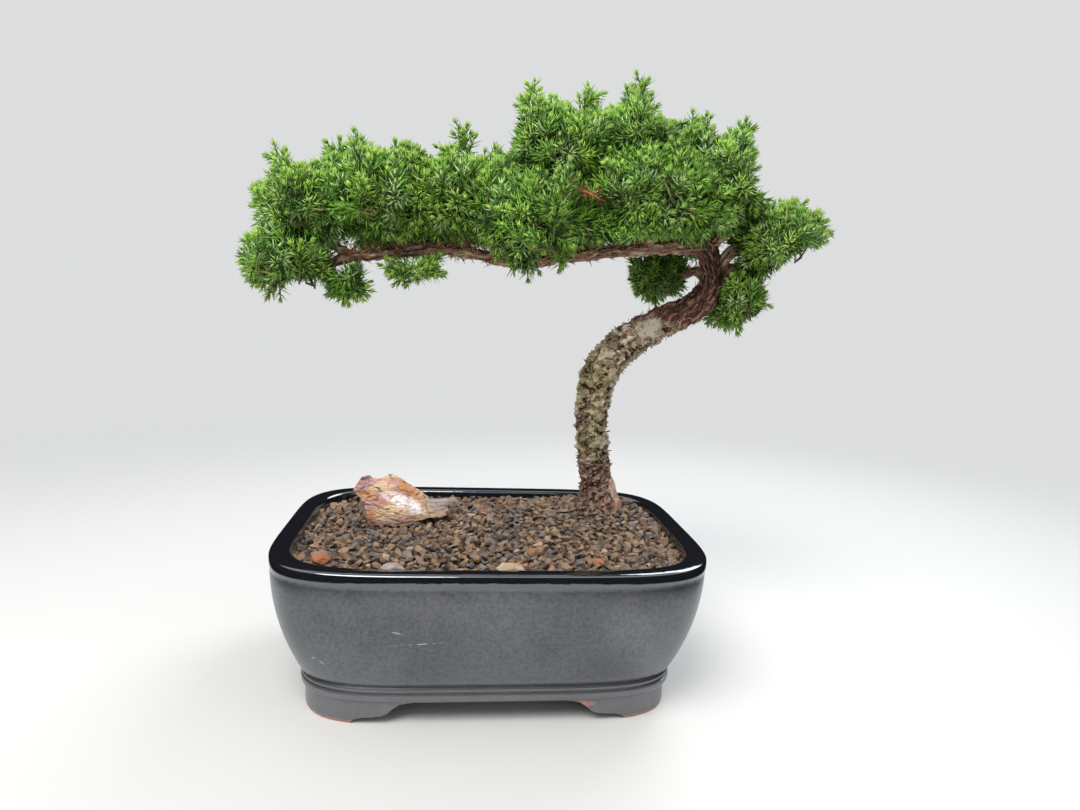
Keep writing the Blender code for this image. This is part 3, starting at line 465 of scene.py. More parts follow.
inner_foot, buried = FOOT_INSET + FOOT_THICKNESS, BAND_BOTTOM + 2.0
skirt_plan = [(FOOT_INSET + inset, up) for inset, up in FOOT_ROLL]
skirt_plan += [(FOOT_INSET, buried), (inner_foot, buried), (inner_foot, 1.0), (inner_foot - 1.0, 0.0)]
skirt = place("skirt", skin("skirt", [tub_ring(*row) for row in skirt_plan], looped=True))
cutters = []
for gap, turned in ((FOOT_LONG_GAP, False), (FOOT_SIDE_GAP, True)):
    rise = [(gap - drawn_in, up) for drawn_in, up in FOOT_OGEE]
    outline = [(gap, -5.0)] + rise + [(-across, up) for across, up in reversed(rise)] + [(-gap, -5.0)]
    ends = []
    for reach in (-POT_LENGTH, POT_LENGTH):
        ends.append([(reach, across, up) if turned else (across, reach, up) for across, up in outline])
    arch = place("arch_side" if turned else "arch_long", skin("arch", ends))
    boolean(skirt, arch, "DIFFERENCE")
    cutters.append(arch)
boolean(cup, skirt, "UNION")
for side in (-1, 1):
    turn = 2 * math.pi * np.arange(48) / 48
    x, y = side * DRAIN_APART / 2 + DRAIN_RADIUS * np.cos(turn), DRAIN_RADIUS * np.sin(turn)
    bore = [np.stack((x, y, np.full(48, level)), -1) for level in (0.0, 2 * FLOOR_TOP)]
    hole = place(f"drain_{side}", skin("drain", bore))
    boolean(cup, hole, "DIFFERENCE")
    cutters.append(hole)
pot_mesh = baked(cup, "glazed_pot")
for cutter in [skirt] + cutters:
    bpy.data.objects.remove(cutter, do_unlink=True)
pot_mesh.shade_smooth()
pot_mesh.set_sharp_from_angle(angle=math.radians(42.0))
pot = settle(place("glazed_pot", pot_mesh, glaze()), "glaze", "pot")

# Soil
# A gritty mix of crushed baked clay and bark, 3 to 6 mm across, tipped in loose, level with
# the inside of the rim and mounded a little round the foot of the trunk.
SOIL_EDGE = 71.6
SOIL_INSET = 10.6
SOIL_CROWN = 4.4
MOUND_HEIGHT = 6.4
MOUND_SPREAD = 34.0
TRUNK_FOOT = (69.0, 37.0)
SOIL_RINGS = 40
SOIL_BOTTOM = 52.0
# Near-black bed seen only between the grains: painted shade deep in the gaps
GAP_SHADE_EARTH = (0.022, 0.016, 0.013)
GRAIN_CORNERS = 11
GRAIN_SHAPES = 9
GRAIN_RADIUS = 2.6
# Two layers of grains: how far apart they lie, how high, and their smallest and largest size
LAYERS = ((3.2, 0.2, 0.70, 1.10), (4.3, 1.9, 0.70, 1.25))
# The share of the grains that each kind makes up, and its light and dark tone
GRAINS = {
    "grain_brown": (0.38, (0.320, 0.215, 0.148), (0.095, 0.062, 0.043)),
    "grain_grey": (0.29, (0.225, 0.185, 0.162), (0.070, 0.060, 0.055)),
    "grain_umber": (0.25, (0.360, 0.230, 0.135), (0.120, 0.073, 0.046)),
    "grain_rust": (0.03, (0.360, 0.165, 0.090), (0.210, 0.090, 0.052)),
    "grain_tan": (0.05, (0.480, 0.365, 0.260), (0.270, 0.200, 0.140)),
}


def soil_height(x, y):
    """The soil's surface: a low dome with a mound round the foot of the trunk."""
    out = np.maximum(np.abs(2 * x / POT_LENGTH), np.abs(2 * y / POT_DEPTH))
    away = np.hypot(x - TRUNK_FOOT[0], y - TRUNK_FOOT[1]) / MOUND_SPREAD
    dome = SOIL_CROWN * np.maximum(0.0, 1.0 - out**2)
    return SOIL_EDGE + dome + MOUND_HEIGHT * np.exp(-(away**2)) * np.clip((1.0 - out) * 6.0, 0.0, 1.0)


def earthy(name, tones):
    """A dull mineral colour that varies within and between grains."""
    material, tree, shader = finish(name, 0.93)
    tone = mixed(mottle(tree, 210, 0.35, 0.65, 3.0), *tones)
    speck = times(mottle(tree, 1500, 0.52, 0.72, 2.0), 0.5)
    feed(shader, "Base Color", mixed(speck, tone, tones[0]))
    bump(shader, mottle(tree, 1800, 0.3, 0.7, 3.0), 0.25)
    return material


rings = [tub_ring(2 * WALL + belly_inset(SOIL_BOTTOM), SOIL_BOTTOM)]
rings.append(tub_ring(SOIL_INSET, SOIL_EDGE - 6.0))
brim = tub_ring(SOIL_INSET, SOIL_EDGE)
for step in range(SOIL_RINGS):
    ring = brim * (1.0 - step / SOIL_RINGS)
    ring[:, 2] = soil_height(ring[:, 0], ring[:, 1])
    rings.append(ring)
bed_mesh = skin("soil_bed", rings)
earth = earthy("gap_shade_earth", (GAP_SHADE_EARTH, GAP_SHADE_EARTH))
settle(place("soil_bed", bed_mesh, earth), "grit", "soil")

heap = bpy.data.collections.new("grain_shapes")
for shape in range(GRAIN_SHAPES):
    rng = random.Random(40 + shape)
    stretch = (rng.uniform(1.0, 1.35), rng.uniform(0.85, 1.05), rng.uniform(0.50, 0.72))
    bm = bmesh.new()
    for _ in range(GRAIN_CORNERS):
        way = Vector([rng.gauss(0.0, 1.0) for _ in range(3)]).normalized()
        corner = Vector(a * b for a, b in zip(way, stretch))
        bm.verts.new(corner * GRAIN_RADIUS * MM * rng.uniform(0.85, 1.1))
    hull = bmesh.ops.convex_hull(bm, input=bm.verts)
    bmesh.ops.delete(bm, geom=list(set(hull["geom_interior"] + hull["geom_unused"])), context="VERTS")
    heap.objects.link(bpy.data.objects.new(f"grain_{shape}", mesh_of(bm, f"grain_{shape}")))


def strewing_tree():
    """Geometry Nodes that strew one kind of grain, a share of all, over a surface."""
    floats = ("Apart", "Lift", "Smallest", "Largest", "Share from", "Share to")
    tree, given, end = group_of("strew_grains", "GeometryNodeTree", {
        "Surface": "Geometry", **dict.fromkeys(floats, "Float"), "Seed": "Int",
        "Heap": "Collection", "Finish": "Material",
    }, "Geometry")
    add = functools.partial(node, tree)
    normal = add("GeometryNodeInputNormal").outputs[0]
    upward = add("SeparateXYZ", {0: normal}).outputs["Z"]
    facing = add("FunctionNodeCompare", {0: upward, 1: 0.5}, operation="GREATER_THAN")
    spots = add("GeometryNodeDistributePointsOnFaces", {
        "Mesh": given["Surface"], "Selection": facing.outputs[0], "Distance Min": given["Apart"],
        "Density Max": 500000.0, "Seed": given["Seed"],
    }, distribute_method="POISSON")
    rise = add("CombineXYZ", {2: given["Lift"]})
    lifted = add("GeometryNodeSetPosition", {"Geometry": spots.outputs[0], "Offset": rise.outputs[0]})
    lot = add("FunctionNodeRandomValue", {"Seed": 5}, data_type="FLOAT").outputs[1]
    above = add("FunctionNodeCompare", {0: lot, 1: given["Share from"]}, operation="GREATER_EQUAL")
    below = add("FunctionNodeCompare", {0: lot, 1: given["Share to"]}, operation="LESS_THAN")
    chosen = add("FunctionNodeBooleanMath", {0: above.outputs[0], 1: below.outputs[0]})
    shapes = add("GeometryNodeCollectionInfo", {0: given["Heap"], 1: True, 2: True})
    turn = add("FunctionNodeRandomValue", {
        0: (-0.55, -0.55, 0.0), 1: (0.55, 0.55, math.tau), "Seed": 7,
    }, data_type="FLOAT_VECTOR")
    size = add("FunctionNodeRandomValue", {
        2: given["Smallest"], 3: given["Largest"], "Seed": 9,
    }, data_type="FLOAT")
    grains = add("GeometryNodeInstanceOnPoints", {
        "Points": lifted.outputs[0], "Selection": chosen.outputs[0], "Instance": shapes.outputs[0],
        "Pick Instance": True, "Rotation": turn.outputs[0], "Scale": size.outputs[1],
    })
    real = add("GeometryNodeRealizeInstances", {0: grains.outputs[0]})
    painted = add("GeometryNodeSetMaterial", {0: real.outputs[0], 2: given["Finish"]})
    tree.links.new(painted.outputs[0], end)
    return tree


STREW = strewing_tree()
sockets = {item.name: item.identifier for item in STREW.interface.items_tree}
for number, (apart, lift, smallest, largest) in enumerate(LAYERS):
    dealt_out = 0.0
    for kind, (share, *tones) in GRAINS.items():
        name = f"{kind}_{number + 1}"
        surface = place(name + "_surface", bed_mesh.copy())
        surface.data.materials.clear()
        strew = surface.modifiers.new("Strew grains", "NODES")
        strew.node_group = STREW
        values = {
            "Apart": apart * MM, "Lift": lift * MM, "Smallest": smallest, "Largest": largest,
            "Share from": dealt_out, "Share to": dealt_out + share, "Seed": 11 + number,
            "Heap": heap, "Finish": earthy(name, tones),
        }
        for label, value in values.items():
            strew[sockets[label]] = value
        settle(place(name, baked(surface, name)), "grit", "soil")
        dealt_out += share
for shape in list(heap.objects):
    bpy.data.objects.remove(shape, do_unlink=True)
bpy.data.collections.remove(heap)

# Pebbles
# A few odd stones larger than the grit: two flat pale ones by the front rim, an orange one
# in the left corner and a pale lump behind the big stone.
GOLDEN_TURN = math.pi * (3.0 - math.sqrt(5.0))
PEBBLE_CORNERS = 13
PEBBLE_REACH = (0.82, 1.12)
PEBBLES = {
    "tan_pebble": ((6.9, -67.5, 76.9), (7.9, 4.4, 3.8), ((0.60, 0.46, 0.32), (0.42, 0.32, 0.22))),
    "pink_pebble": ((-47.0, -66.5, 76.5), (6.8, 4.0, 3.6), ((0.42, 0.35, 0.32), (0.26, 0.21, 0.19))),
    "orange_pebble": ((-81.0, -54.0, 77.0), (5.2, 4.0, 3.0), ((0.50, 0.17, 0.08), (0.36, 0.13, 0.07))),
    "grey_pebble": ((-21.2, 36.0, 80.5), (4.6, 4.0, 4.4), ((0.36, 0.29, 0.24), (0.24, 0.19, 0.16))),
    "rust_pebble": ((50.0, -56.0, 76.5), (3.6, 2.8, 2.4), ((0.44, 0.19, 0.10), (0.30, 0.12, 0.07))),
    "brown_pebble": ((19.5, -45.0, 77.5), (4.0, 3.4, 3.0), ((0.36, 0.20, 0.10), (0.26, 0.14, 0.08))),
}


def hull_of(corners):
    """The flat-sided hull round these corners, for rays to hit."""
    bm = bmesh.new()
    for corner in corners:
        bm.verts.new(corner)
    bmesh.ops.convex_hull(bm, input=bm.verts)
    hull = BVHTree.FromBMesh(bm)
    bm.free()
    return hull


def drawn_ball(name, grain, surface):
    """A fine ball with each point drawn to where surface(way) puts it, in millimetres."""
    bm = bmesh.new()
    bmesh.ops.create_icosphere(bm, subdivisions=grain, radius=1.0)
    for vert in bm.verts:
        vert.co = surface(vert.co.normalized()) * MM + HOME
    mesh = mesh_of(bm, name)
    mesh.shade_smooth()
    return mesh


def pebble_mesh(name, middle, half, seed):
    """A pebble: a ball drawn in to the flats of a hull, then roughened."""
    rng = random.Random(seed)
    corners = []
    for index in range(PEBBLE_CORNERS):
        level = 1.0 - 2.0 * (index + 0.5) / PEBBLE_CORNERS
        flat = math.sqrt(1.0 - level * level)
        turn = GOLDEN_TURN * index
        reach = rng.uniform(*PEBBLE_REACH)
        corners.append((flat * math.cos(turn) * reach, flat * math.sin(turn) * reach, level * reach))
    hull = hull_of(corners)

    def surface(way):
        rough = 0.05 * noise.fractal(way * 3.0 + Vector((seed, 0, 0)), 0.8, 2.0, 4)
        on_hull = hull.ray_cast(way * 3.0, -way)[0] * (1.0 + rough)
        return Vector(a * b for a, b in zip(on_hull, half)) + Vector(middle)

    return drawn_ball(name, 4, surface)


for number, (name, (middle, half, tones)) in enumerate(PEBBLES.items()):
    pebble = pebble_mesh(name, middle, half, 60 + number)
    settle(place(name, pebble, earthy(name, tones)), "grit", "soil")

# Stone
# A weathered lump of banded jasper: orange and cream at the high left end, a white streak
# along its top, a grey right end and a pink underside.
STONE_HEART = (-50.0, 13.0, 85.0)
# Corners of the three blocks that the stone weathered from: its body, the knob at its upper
# left and the low step at its right end
STONE_BLOCKS = (
    ((-69, 7, 96), (-65, 20, 98), (-57, 5, 99), (-55, 19, 101), (-46.5, 8, 97.5), (-44, 20, 95),
     (-36, 5, 88.5), (-34, 20, 88), (-33, 3, 81), (-36, 27, 77), (-46, -1.5, 77.5), (-57, -1, 77),
     (-66, 2, 76), (-69, 24, 76), (-50, 29, 78), (-69, 12, 84), (-57, 0, 87), (-46, -1, 85)),
    ((-75, 9, 94), (-74, 17, 95), (-70.5, 9, 101.5), (-67, 16, 101.5), (-62, 8, 96), (-64, 19, 96),
     (-70.5, 8, 89), (-66, 7, 85), (-67, 18, 88), (-56, 13, 92)),
    ((-42, 6, 86), (-38, 21, 87), (-24.5, 7, 88.5), (-24, 18, 88), (-23, 5, 82), (-22.5, 20, 78),
     (-38, 3, 81), (-38, 24, 77), (-27, 4, 80.5)),
)
ORANGE = (0.53, 0.245, 0.10)
CREAM = (0.72, 0.52, 0.32)
PINK = (0.50, 0.29, 0.27)
MAROON = (0.13, 0.055, 0.052)
QUARTZ = (0.96, 0.88, 0.86)
SLATE = (0.33, 0.28, 0.27)
STREAK_AT = (-46.0, 2.0, 89.0)
STREAK_HALF = (12.5, 9.0, 3.3)
STREAK_TILT = 25.0
GREY_AT = (-29.0, 10.0, 87.5)
GREY_HALF = (8.0, 16.0, 4.5)


def step_between(low, high, value):
    share = min(1.0, max(0.0, (value - low) / (high - low)))
    return share * share * (3.0 - 2.0 * share)


def jasper():
    """Bands that run down the stone's slope, with a white streak and a grey end."""
    material, tree, shader = finish("banded_jasper", 0.72)
    banding = mottle(tree, 75, 0.40, 0.58, 6.0, (0.7, 1.0, 1.4), 0.8)
    tone = mixed(banding, ORANGE, CREAM)
    tone = mixed(mottle(tree, 90, 0.50, 0.60, 5.0, (0.8, 1.0, 1.8), 0.6), tone, PINK)
    tone = mixed(mottle(tree, 140, 0.57, 0.66, 5.0, (0.6, 1.0, 2.0), 1.0), tone, MAROON)
    cracks = mottle(tree, 200, 0.57, 0.64, 5.0, (0.7, 1.0, 1.6), 1.2)
    tone = mixed(times(cracks, 0.75), tone, MAROON)
    # Darker towards the soil: painted shade under the stone's overhang
    under = minus(1.0, height_mask(tree, 77, 85))
    tone = mixed(times(under, 0.85), tone, MAROON)
    ragged = plus(mottle(tree, 240, 0.35, 0.55, 4.0), 0.15)
    white = times(patch(tree, STREAK_AT, STREAK_HALF, 0.35, STREAK_TILT), ragged)
    tone = mixed(white, tone, QUARTZ)
    grey = times(patch(tree, GREY_AT, GREY_HALF, 0.2), ragged)
    feed(shader, "Base Color", mixed(grey, tone, SLATE))
    bump(shader, mottle(tree, 420, 0.25, 0.75, 6.0, (0.8, 1.0, 1.8), 0.8), 0.5)
    return material


def jasper_surface(way):
    """The outermost of the three hulls in this direction from the heart, then weathered."""
    heart = Vector(STONE_HEART)
    hits = [hull.ray_cast(heart + way * 90.0, -way)[0] for hull in hulls]
    spot = max((hit for hit in hits if hit), key=lambda hit: (hit - heart).length)
    layered = Vector((spot.x * 0.10 + spot.z * 0.05, spot.y * 0.16, spot.z * 0.34 + spot.x * 0.10))
    ridges = 0.9 * noise.fractal(layered, 0.7, 2.1, 5)
    pits = 0.9 * step_between(0.25, 0.55, noise.noise(spot * 0.35 + Vector((2, 7, 5))))
    return spot + way * (ridges - pits)


hulls = [hull_of(corners) for corners in STONE_BLOCKS]
stone_mesh = drawn_ball("jasper_stone", 7, jasper_surface)
settle(place("jasper_stone", stone_mesh, jasper()), "banded_stone", "stone")

# Trunk
# Old bark over a bent pole: dark flaking scales at the foot, pale grey knobs with moss and
# lichen up the lean, a bare grey patch on the bend and red fibres towards the sawn tip.
GROUND = 81.0
TRUNK_LINE = (
    (69.0, 37.0, GROUND - 4.0, 9.6),
    (64.5, 35.0, 96.0, 8.9),
    (61.0, 31.0, 114.0, 8.9),
    (58.8, 28.0, 132.0, 8.7),
    (59.0, 25.0, 150.0, 9.3),
    (63.0, 23.0, 165.0, 9.6),
    (78.0, 21.0, 182.0, 9.6),
    (97.0, 20.0, 193.5, 8.4),
    (115.0, 20.0, 203.0, 7.6),
    (122.0, 20.0, 214.0, 6.4),
    (121.4, 20.0, 226.0, 5.7),
    (118.0, 20.0, 235.0, 5.4),
    (113.6, 20.0, 240.0, 5.2),
)
TRUNK_SIDES = 96
TRUNK_STEP = 0.65
FLARE = 0.30
FLARE_HEIGHT = 6.0
ROOTS = 5
SIDE_ROOT = (
    (71.5, 29.5, 98.0, 1.6), (73.6, 29.0, 91.0, 1.9), (75.6, 28.5, 85.0, 2.1), (79.0, 28.0, 77.0, 2.0),
)
BALD_AT = (86.0, 12.0, 190.0)
BALD_HALF = (6.5, 13.0, 6.0)
MOSS_AT = (54.0, 18.0, 150.0)
MOSS_HALF = (11.0, 22.0, 48.0)
# Loose bark: how many blades, their lengths, half widths and tilts off the limb
SCALE_FLAKES = (520, (1.6, 3.4), (0.5, 1.1), (25.0, 75.0))
DRIFT_PLACES = ((9.321, -1.531, -7.951), (0.0, 0.0, 0.0), (6.327, 0.1671, -2.672))
BARK_DARK = (0.034, 0.020, 0.013)
BARK_BROWN = (0.185, 0.098, 0.068)
BARK_FLAKE = (0.430, 0.300, 0.235)
BARK_TAN = (0.270, 0.190, 0.120)
BARK_PALE = (0.640, 0.570, 0.440)
BARK_OLIVE = (0.230, 0.190, 0.070)
BARK_LICHEN = (0.440, 0.410, 0.215)
BARK_GREY = (0.430, 0.395, 0.310)
BARK_RED = (0.125, 0.045, 0.028)
FIBRE_TAN = (0.400, 0.250, 0.160)
FIBRE_BROWN = (0.290, 0.150, 0.098)
FIBRE_PALE = (0.600, 0.430, 0.290)
ROOT_TAN = (0.400, 0.260, 0.190)
ROOT_PALE = (0.560, 0.420, 0.340)


def smooth_line(stations, step):
    """Points every step or so along one smooth curve through the stations, radius included."""
    rows = [np.array(row, float) for row in stations]
    rows = [2 * rows[0] - rows[1]] + rows + [2 * rows[-1] - rows[-2]]
    line = []
    for before, start, end, after in zip(rows, rows[1:], rows[2:], rows[3:]):
        count = max(1, round(float(np.linalg.norm((end - start)[:3])) / step))
        for index in range(count):
            t = index / count
            line.append(
                0.5 * (2 * start + (end - before) * t
                       + (2 * before - 5 * start + 4 * end - after) * t**2
                       + (3 * start - before - 3 * end + after) * t**3)
            )
    line.append(rows[-2])
    return np.array(line)


def bark_rings(line, sides, relief):
    """Rings round a limb's line, and tones, by relief(spot, run, turn, radius)."""
    side = Vector((0.0, 1.0, 0.0))
    rings, tones, run = [], [], 0.0
    for index, (x, y, z, radius) in enumerate(line):
        ahead = Vector(line[min(index + 1, len(line) - 1)][:3])
        behind = Vector(line[max(index - 1, 0)][:3])
        along = (ahead - behind).normalized()
        run += (ahead - behind).length / 2
        side = (side - along * side.dot(along)).normalized()
        across = along.cross(side)
        ring, shades = [], []
        for corner in range(sides):
            turn = 2 * math.pi * corner / sides
            out = side * math.cos(turn) + across * math.sin(turn)
            spot = Vector((x, y, z)) + out * radius
            rise, tone = relief(spot, run, turn, radius)
            ring.append(spot + out * rise)
            shades.append(tone)
        rings.append(ring)
        tones.append(shades)
    return rings, tones


def bell(middle, width, value):
    return math.exp(-(((value - middle) / width) ** 2))


def drift(spot):
    """A smooth shift in three directions, from plain noise read at three places."""
    return Vector([noise.noise(spot + Vector(place)) for place in DRIFT_PLACES])


def strand_relief(spot, run, turn, radius):
    """Peeling strands that wind slowly along a limb: how far they stand out, and their tone."""
    wound = turn + run * 0.04 + 0.5 * noise.noise(spot * 0.12)
    lanes = Vector((math.cos(wound) * radius * 0.75, math.sin(wound) * radius * 0.75, run * 0.06))
    strand = noise.noise(lanes + drift(spot * 0.2) * 0.4)
    shred = noise.noise(Vector((lanes.x * 1.5, lanes.y * 1.5, run * 0.2)) + Vector((5, 0, 0)))
    torn = step_between(0.10, 0.26, shred)
    swelling = 0.22 * radius * noise.noise(spot * 0.13)
    rise = 0.95 * strand + 0.55 * torn + swelling + 0.25 * noise.noise(spot * 1.2) + 0.2
    frayed = noise.noise(spot * 0.5)
    return rise + 0.35 * frayed, 0.20 + 0.55 * strand + 0.42 * torn + 0.30 * frayed


def trunk_relief(spot, run, turn, radius):
    """Curling scales with pits between, knobs, and a flare cut into roots."""
    flare = FLARE * math.exp(-max(0.0, spot.z - GROUND) / FLARE_HEIGHT)
    lobe = 0.6 + 0.4 * math.cos(ROOTS * turn)
    fibrous = step_between(187.0, 197.0, spot.z + 6.0 * noise.noise(spot * 0.2))
    bald = step_between(8.5, 4.0, (spot - Vector(BALD_AT)).length + 5.0 * noise.noise(spot * 0.25))
    scaly = (1.0 - fibrous) * (1.0 - 0.85 * bald)
    small = step_between(112.0, 98.0, spot.z)
    warped = spot * (0.20 + 0.12 * small) + drift(spot * 0.22) * 0.8
    field = noise.noise(warped) + 0.28 * noise.noise(spot * 0.75 + Vector((8, 2, 6)))
    plate = step_between(-0.08, 0.08, field)
    lip = step_between(-0.3, 0.2, noise.noise(spot * 0.21 + Vector((4, 4, 4))))
    lip *= bell(0.10, 0.08, field)
    curled = step_between(-0.28, 0.16, noise.noise(spot * 0.16 + Vector((6, 3, 8))))
    pit = bell(-0.16, 0.11, field) * (0.15 + 0.85 * curled)
    lumps = noise.noise(spot * 0.12 + Vector((3, 9, 1))) + 0.7 * noise.noise(spot * 0.31)
    grit = noise.noise(spot * 1.1) + 0.6 * noise.noise(spot * 2.1)
    strand_rise, strand_tone = strand_relief(spot, run, turn, radius)
    scales = (0.55 * plate + 1.15 * lip - 0.95 * pit) * (1.0 - 0.30 * small)
    rise = radius * flare * lobe + scaly * scales + fibrous * strand_rise
    rise += (1.55 - 0.8 * fibrous) * lumps + 0.24 * grit - 0.2
    # The tone drops in the pits: partly the bark's darker inner layers, partly painted shade
    tone = 0.36 + 0.24 * plate + 0.40 * lip - (0.60 - 0.25 * small) * pit + 0.22 * grit + 0.30 * lumps
    tone += 0.35 * noise.noise(spot * 0.45 + Vector((1, 6, 3)))
    return rise, tone * scaly + strand_tone * fibrous + (0.62 + 0.2 * grit) * bald * (1.0 - fibrous)


def toned(tree, dark, middle, pale, lift=0.0):
    """A colour that runs from dark through middle to pale with the mesh's own tone."""
    tone = node(tree, "Attribute", attribute_name="tone").outputs["Fac"]
    low, high = ramp(tone, 0.02 - lift, 0.36 - lift), ramp(tone, 0.40 - lift, 0.95 - lift)
    return mixed(high, mixed(low, dark, middle), pale)


def lichened_bark():
    """Bark whose colours change up the trunk, dark in its pits (partly painted shade) and pale on its
    scales.
    """
    material, tree, shader = finish("lichened_bark", 0.92)
    tan = toned(tree, BARK_DARK, BARK_TAN, BARK_PALE)
    mossy = toned(tree, BARK_DARK, BARK_OLIVE, BARK_LICHEN)
    left = plus(patch(tree, MOSS_AT, MOSS_HALF, 0.5), -0.1)
    moss = times(mottle(tree, 120, 0.36, 0.58, 4.0), plus(left, 0.12))
    tone = mixed(moss, tan, mossy)
    brown = toned(tree, BARK_DARK, BARK_BROWN, BARK_FLAKE)
    foot = minus(1.0, height_mask(tree, 100, 117))
    ragged = mottle(tree, 130, 0.3, 0.7, 4.0)
    tone = mixed(ramp(plus(foot, times(ragged, 0.35)), 0.45, 0.75), tone, brown)
    worn = plus(mottle(tree, 160, 0.3, 0.5, 4.0), 0.1)
    bare = times(patch(tree, BALD_AT, BALD_HALF, 0.35, -28.0), worn)
    tone = mixed(bare, tone, BARK_GREY)
    fibres = toned(tree, BARK_DARK, BARK_RED, FIBRE_TAN)
    top = ramp(plus(height_mask(tree, 182, 202), times(ragged, 0.3)), 0.4, 0.75)
    tone = mixed(times(top, minus(1.0, bare)), tone, fibres)
    # Dark specks for small pits: partly bark colour, partly painted shade
    pits = mottle(tree, 330, 0.56, 0.68, 5.0)
    tone = mixed(times(pits, 0.55), tone, BARK_DARK)
    feed(shader, "Base Color", tone)
    bump(shader, mottle(tree, 800, 0.25, 0.75, 6.0), 0.4)
    return material


trunk_line = smooth_line(TRUNK_LINE, TRUNK_STEP)
trunk_mesh = skin("bark_trunk", *bark_rings(trunk_line, TRUNK_SIDES, trunk_relief))
old_bark = lichened_bark()
settle(place("bark_trunk", trunk_mesh, old_bark), "old_bark", "trunk")


def unit(rows):
    return rows / np.linalg.norm(rows, axis=-1, keepdims=True)


def frame_of(along):
    """Two directions square to each of these and to each other."""
    up = np.where(np.abs(along[..., 2:3]) < 0.9, np.array((0.0, 0.0, 1.0)), np.array((1.0, 0.0, 0.0)))
    side = unit(np.cross(along, up))
    return side, np.cross(along, side)


def array_mesh(name, points, triangles, slots=None):
    """A plain mesh from arrays of points in millimetres and corners of triangles."""
    mesh = bpy.data.meshes.new(name)
    mesh.vertices.add(len(points))
    mesh.vertices.foreach_set("co", (points * MM + np.array(HOME)).astype(np.float32).ravel())
    mesh.loops.add(triangles.size)
    mesh.loops.foreach_set("vertex_index", triangles.astype(np.int32).ravel())
    mesh.polygons.add(len(triangles))
    mesh.polygons.foreach_set("loop_start", np.arange(0, triangles.size, 3, dtype=np.int32))
    if slots is not None:
        mesh.polygons.foreach_set("material_index", slots.astype(np.int32))
    mesh.update(calc_edges=True)
    mesh.shade_smooth()
    return mesh


def blades(root, aim, upper, long, width, keel):
    """Closed pointed blades of six faces: their points, triangles and which faces look upward."""
    flank = np.cross(aim, upper)
    belly = root + aim * (long * 0.32)[:, None]
    tip = root + aim * long[:, None] + upper * (long * 0.10)[:, None]
    edge = flank * width[:, None]
    shoulder = belly + upper * 0.08
    corners = (root, shoulder + edge, shoulder - edge, belly - upper * keel[:, None], tip)
    points = np.stack(corners, 1)
    faces = np.array(((0, 1, 2), (4, 2, 1), (0, 3, 1), (0, 2, 3), (4, 1, 3), (4, 3, 2)))
    triangles = faces[None] + (np.arange(len(root)) * 5)[:, None, None]
    slots = np.tile(np.array((1, 1, 0, 0, 0, 0)), len(root))
    return points.reshape(-1, 3), triangles.reshape(-1, 3), slots


def flakes(line, seed, count, length, width, tilt, on_top=False):
    """Blades of bark that stand off a limb, all round it or along its top."""
    rng = np.random.default_rng(seed)
    place_on = rng.uniform(0.0, len(line) - 1.001, count)
    first = place_on.astype(int)
    here = line[first] + (line[first + 1] - line[first]) * (place_on - first)[:, None]
    along = unit((line[first + 1] - line[first])[:, :3])
    side, across = frame_of(along)
    turn = rng.uniform(0.0, math.tau, (count, 1))
    out = side * np.cos(turn) + across * np.sin(turn)
    if on_top:
        out[:, 2] = np.abs(out[:, 2])
    ways = rng.choice((-1.0, 1.0), (count, 1))
    along = along * ways + np.cross(out, along) * rng.normal(0.0, 0.4, (count, 1))
    along = unit(along - out * (along * out).sum(1, keepdims=True))
    lean = np.radians(rng.uniform(*tilt, (count, 1)))
    aim = along * np.cos(lean) + out * np.sin(lean)
    upper = out * np.cos(lean) - along * np.sin(lean)
    root = here[:, :3] + out * (here[:, 3:4] - 0.1)
    long, wide = rng.uniform(*length, count), rng.uniform(*width, count)
    return blades(root, aim, upper, long, wide, np.full(count, 0.3))


loose = finish("loose_bark_under", 0.9, BARK_BROWN)[0], finish("loose_bark", 0.9, BARK_FLAKE)[0]
scaly_line = trunk_line[trunk_line[:, 2] < 198.0]
scale_flakes = array_mesh("scale_flakes", *flakes(scaly_line, 3, *SCALE_FLAKES))
settle(place("scale_flakes", scale_flakes, *loose), "old_bark", "trunk")
side_root = skin("side_root", *bark_rings(smooth_line(SIDE_ROOT, 0.8), 20, strand_relief))
root_bark, tree, shader = finish("root_bark", 0.85)
feed(shader, "Base Color", toned(tree, BARK_BROWN, ROOT_TAN, ROOT_PALE))
settle(place("side_root", side_root, root_bark), "old_bark", "trunk")

# Boughs
# Younger limbs in fibrous red bark that peels in tan strands lengthways; the long one runs
# out over the pot and the rest are short forks into the foliage.
BOUGH_SIDES = 40
BOUGH_STEP = 0.65
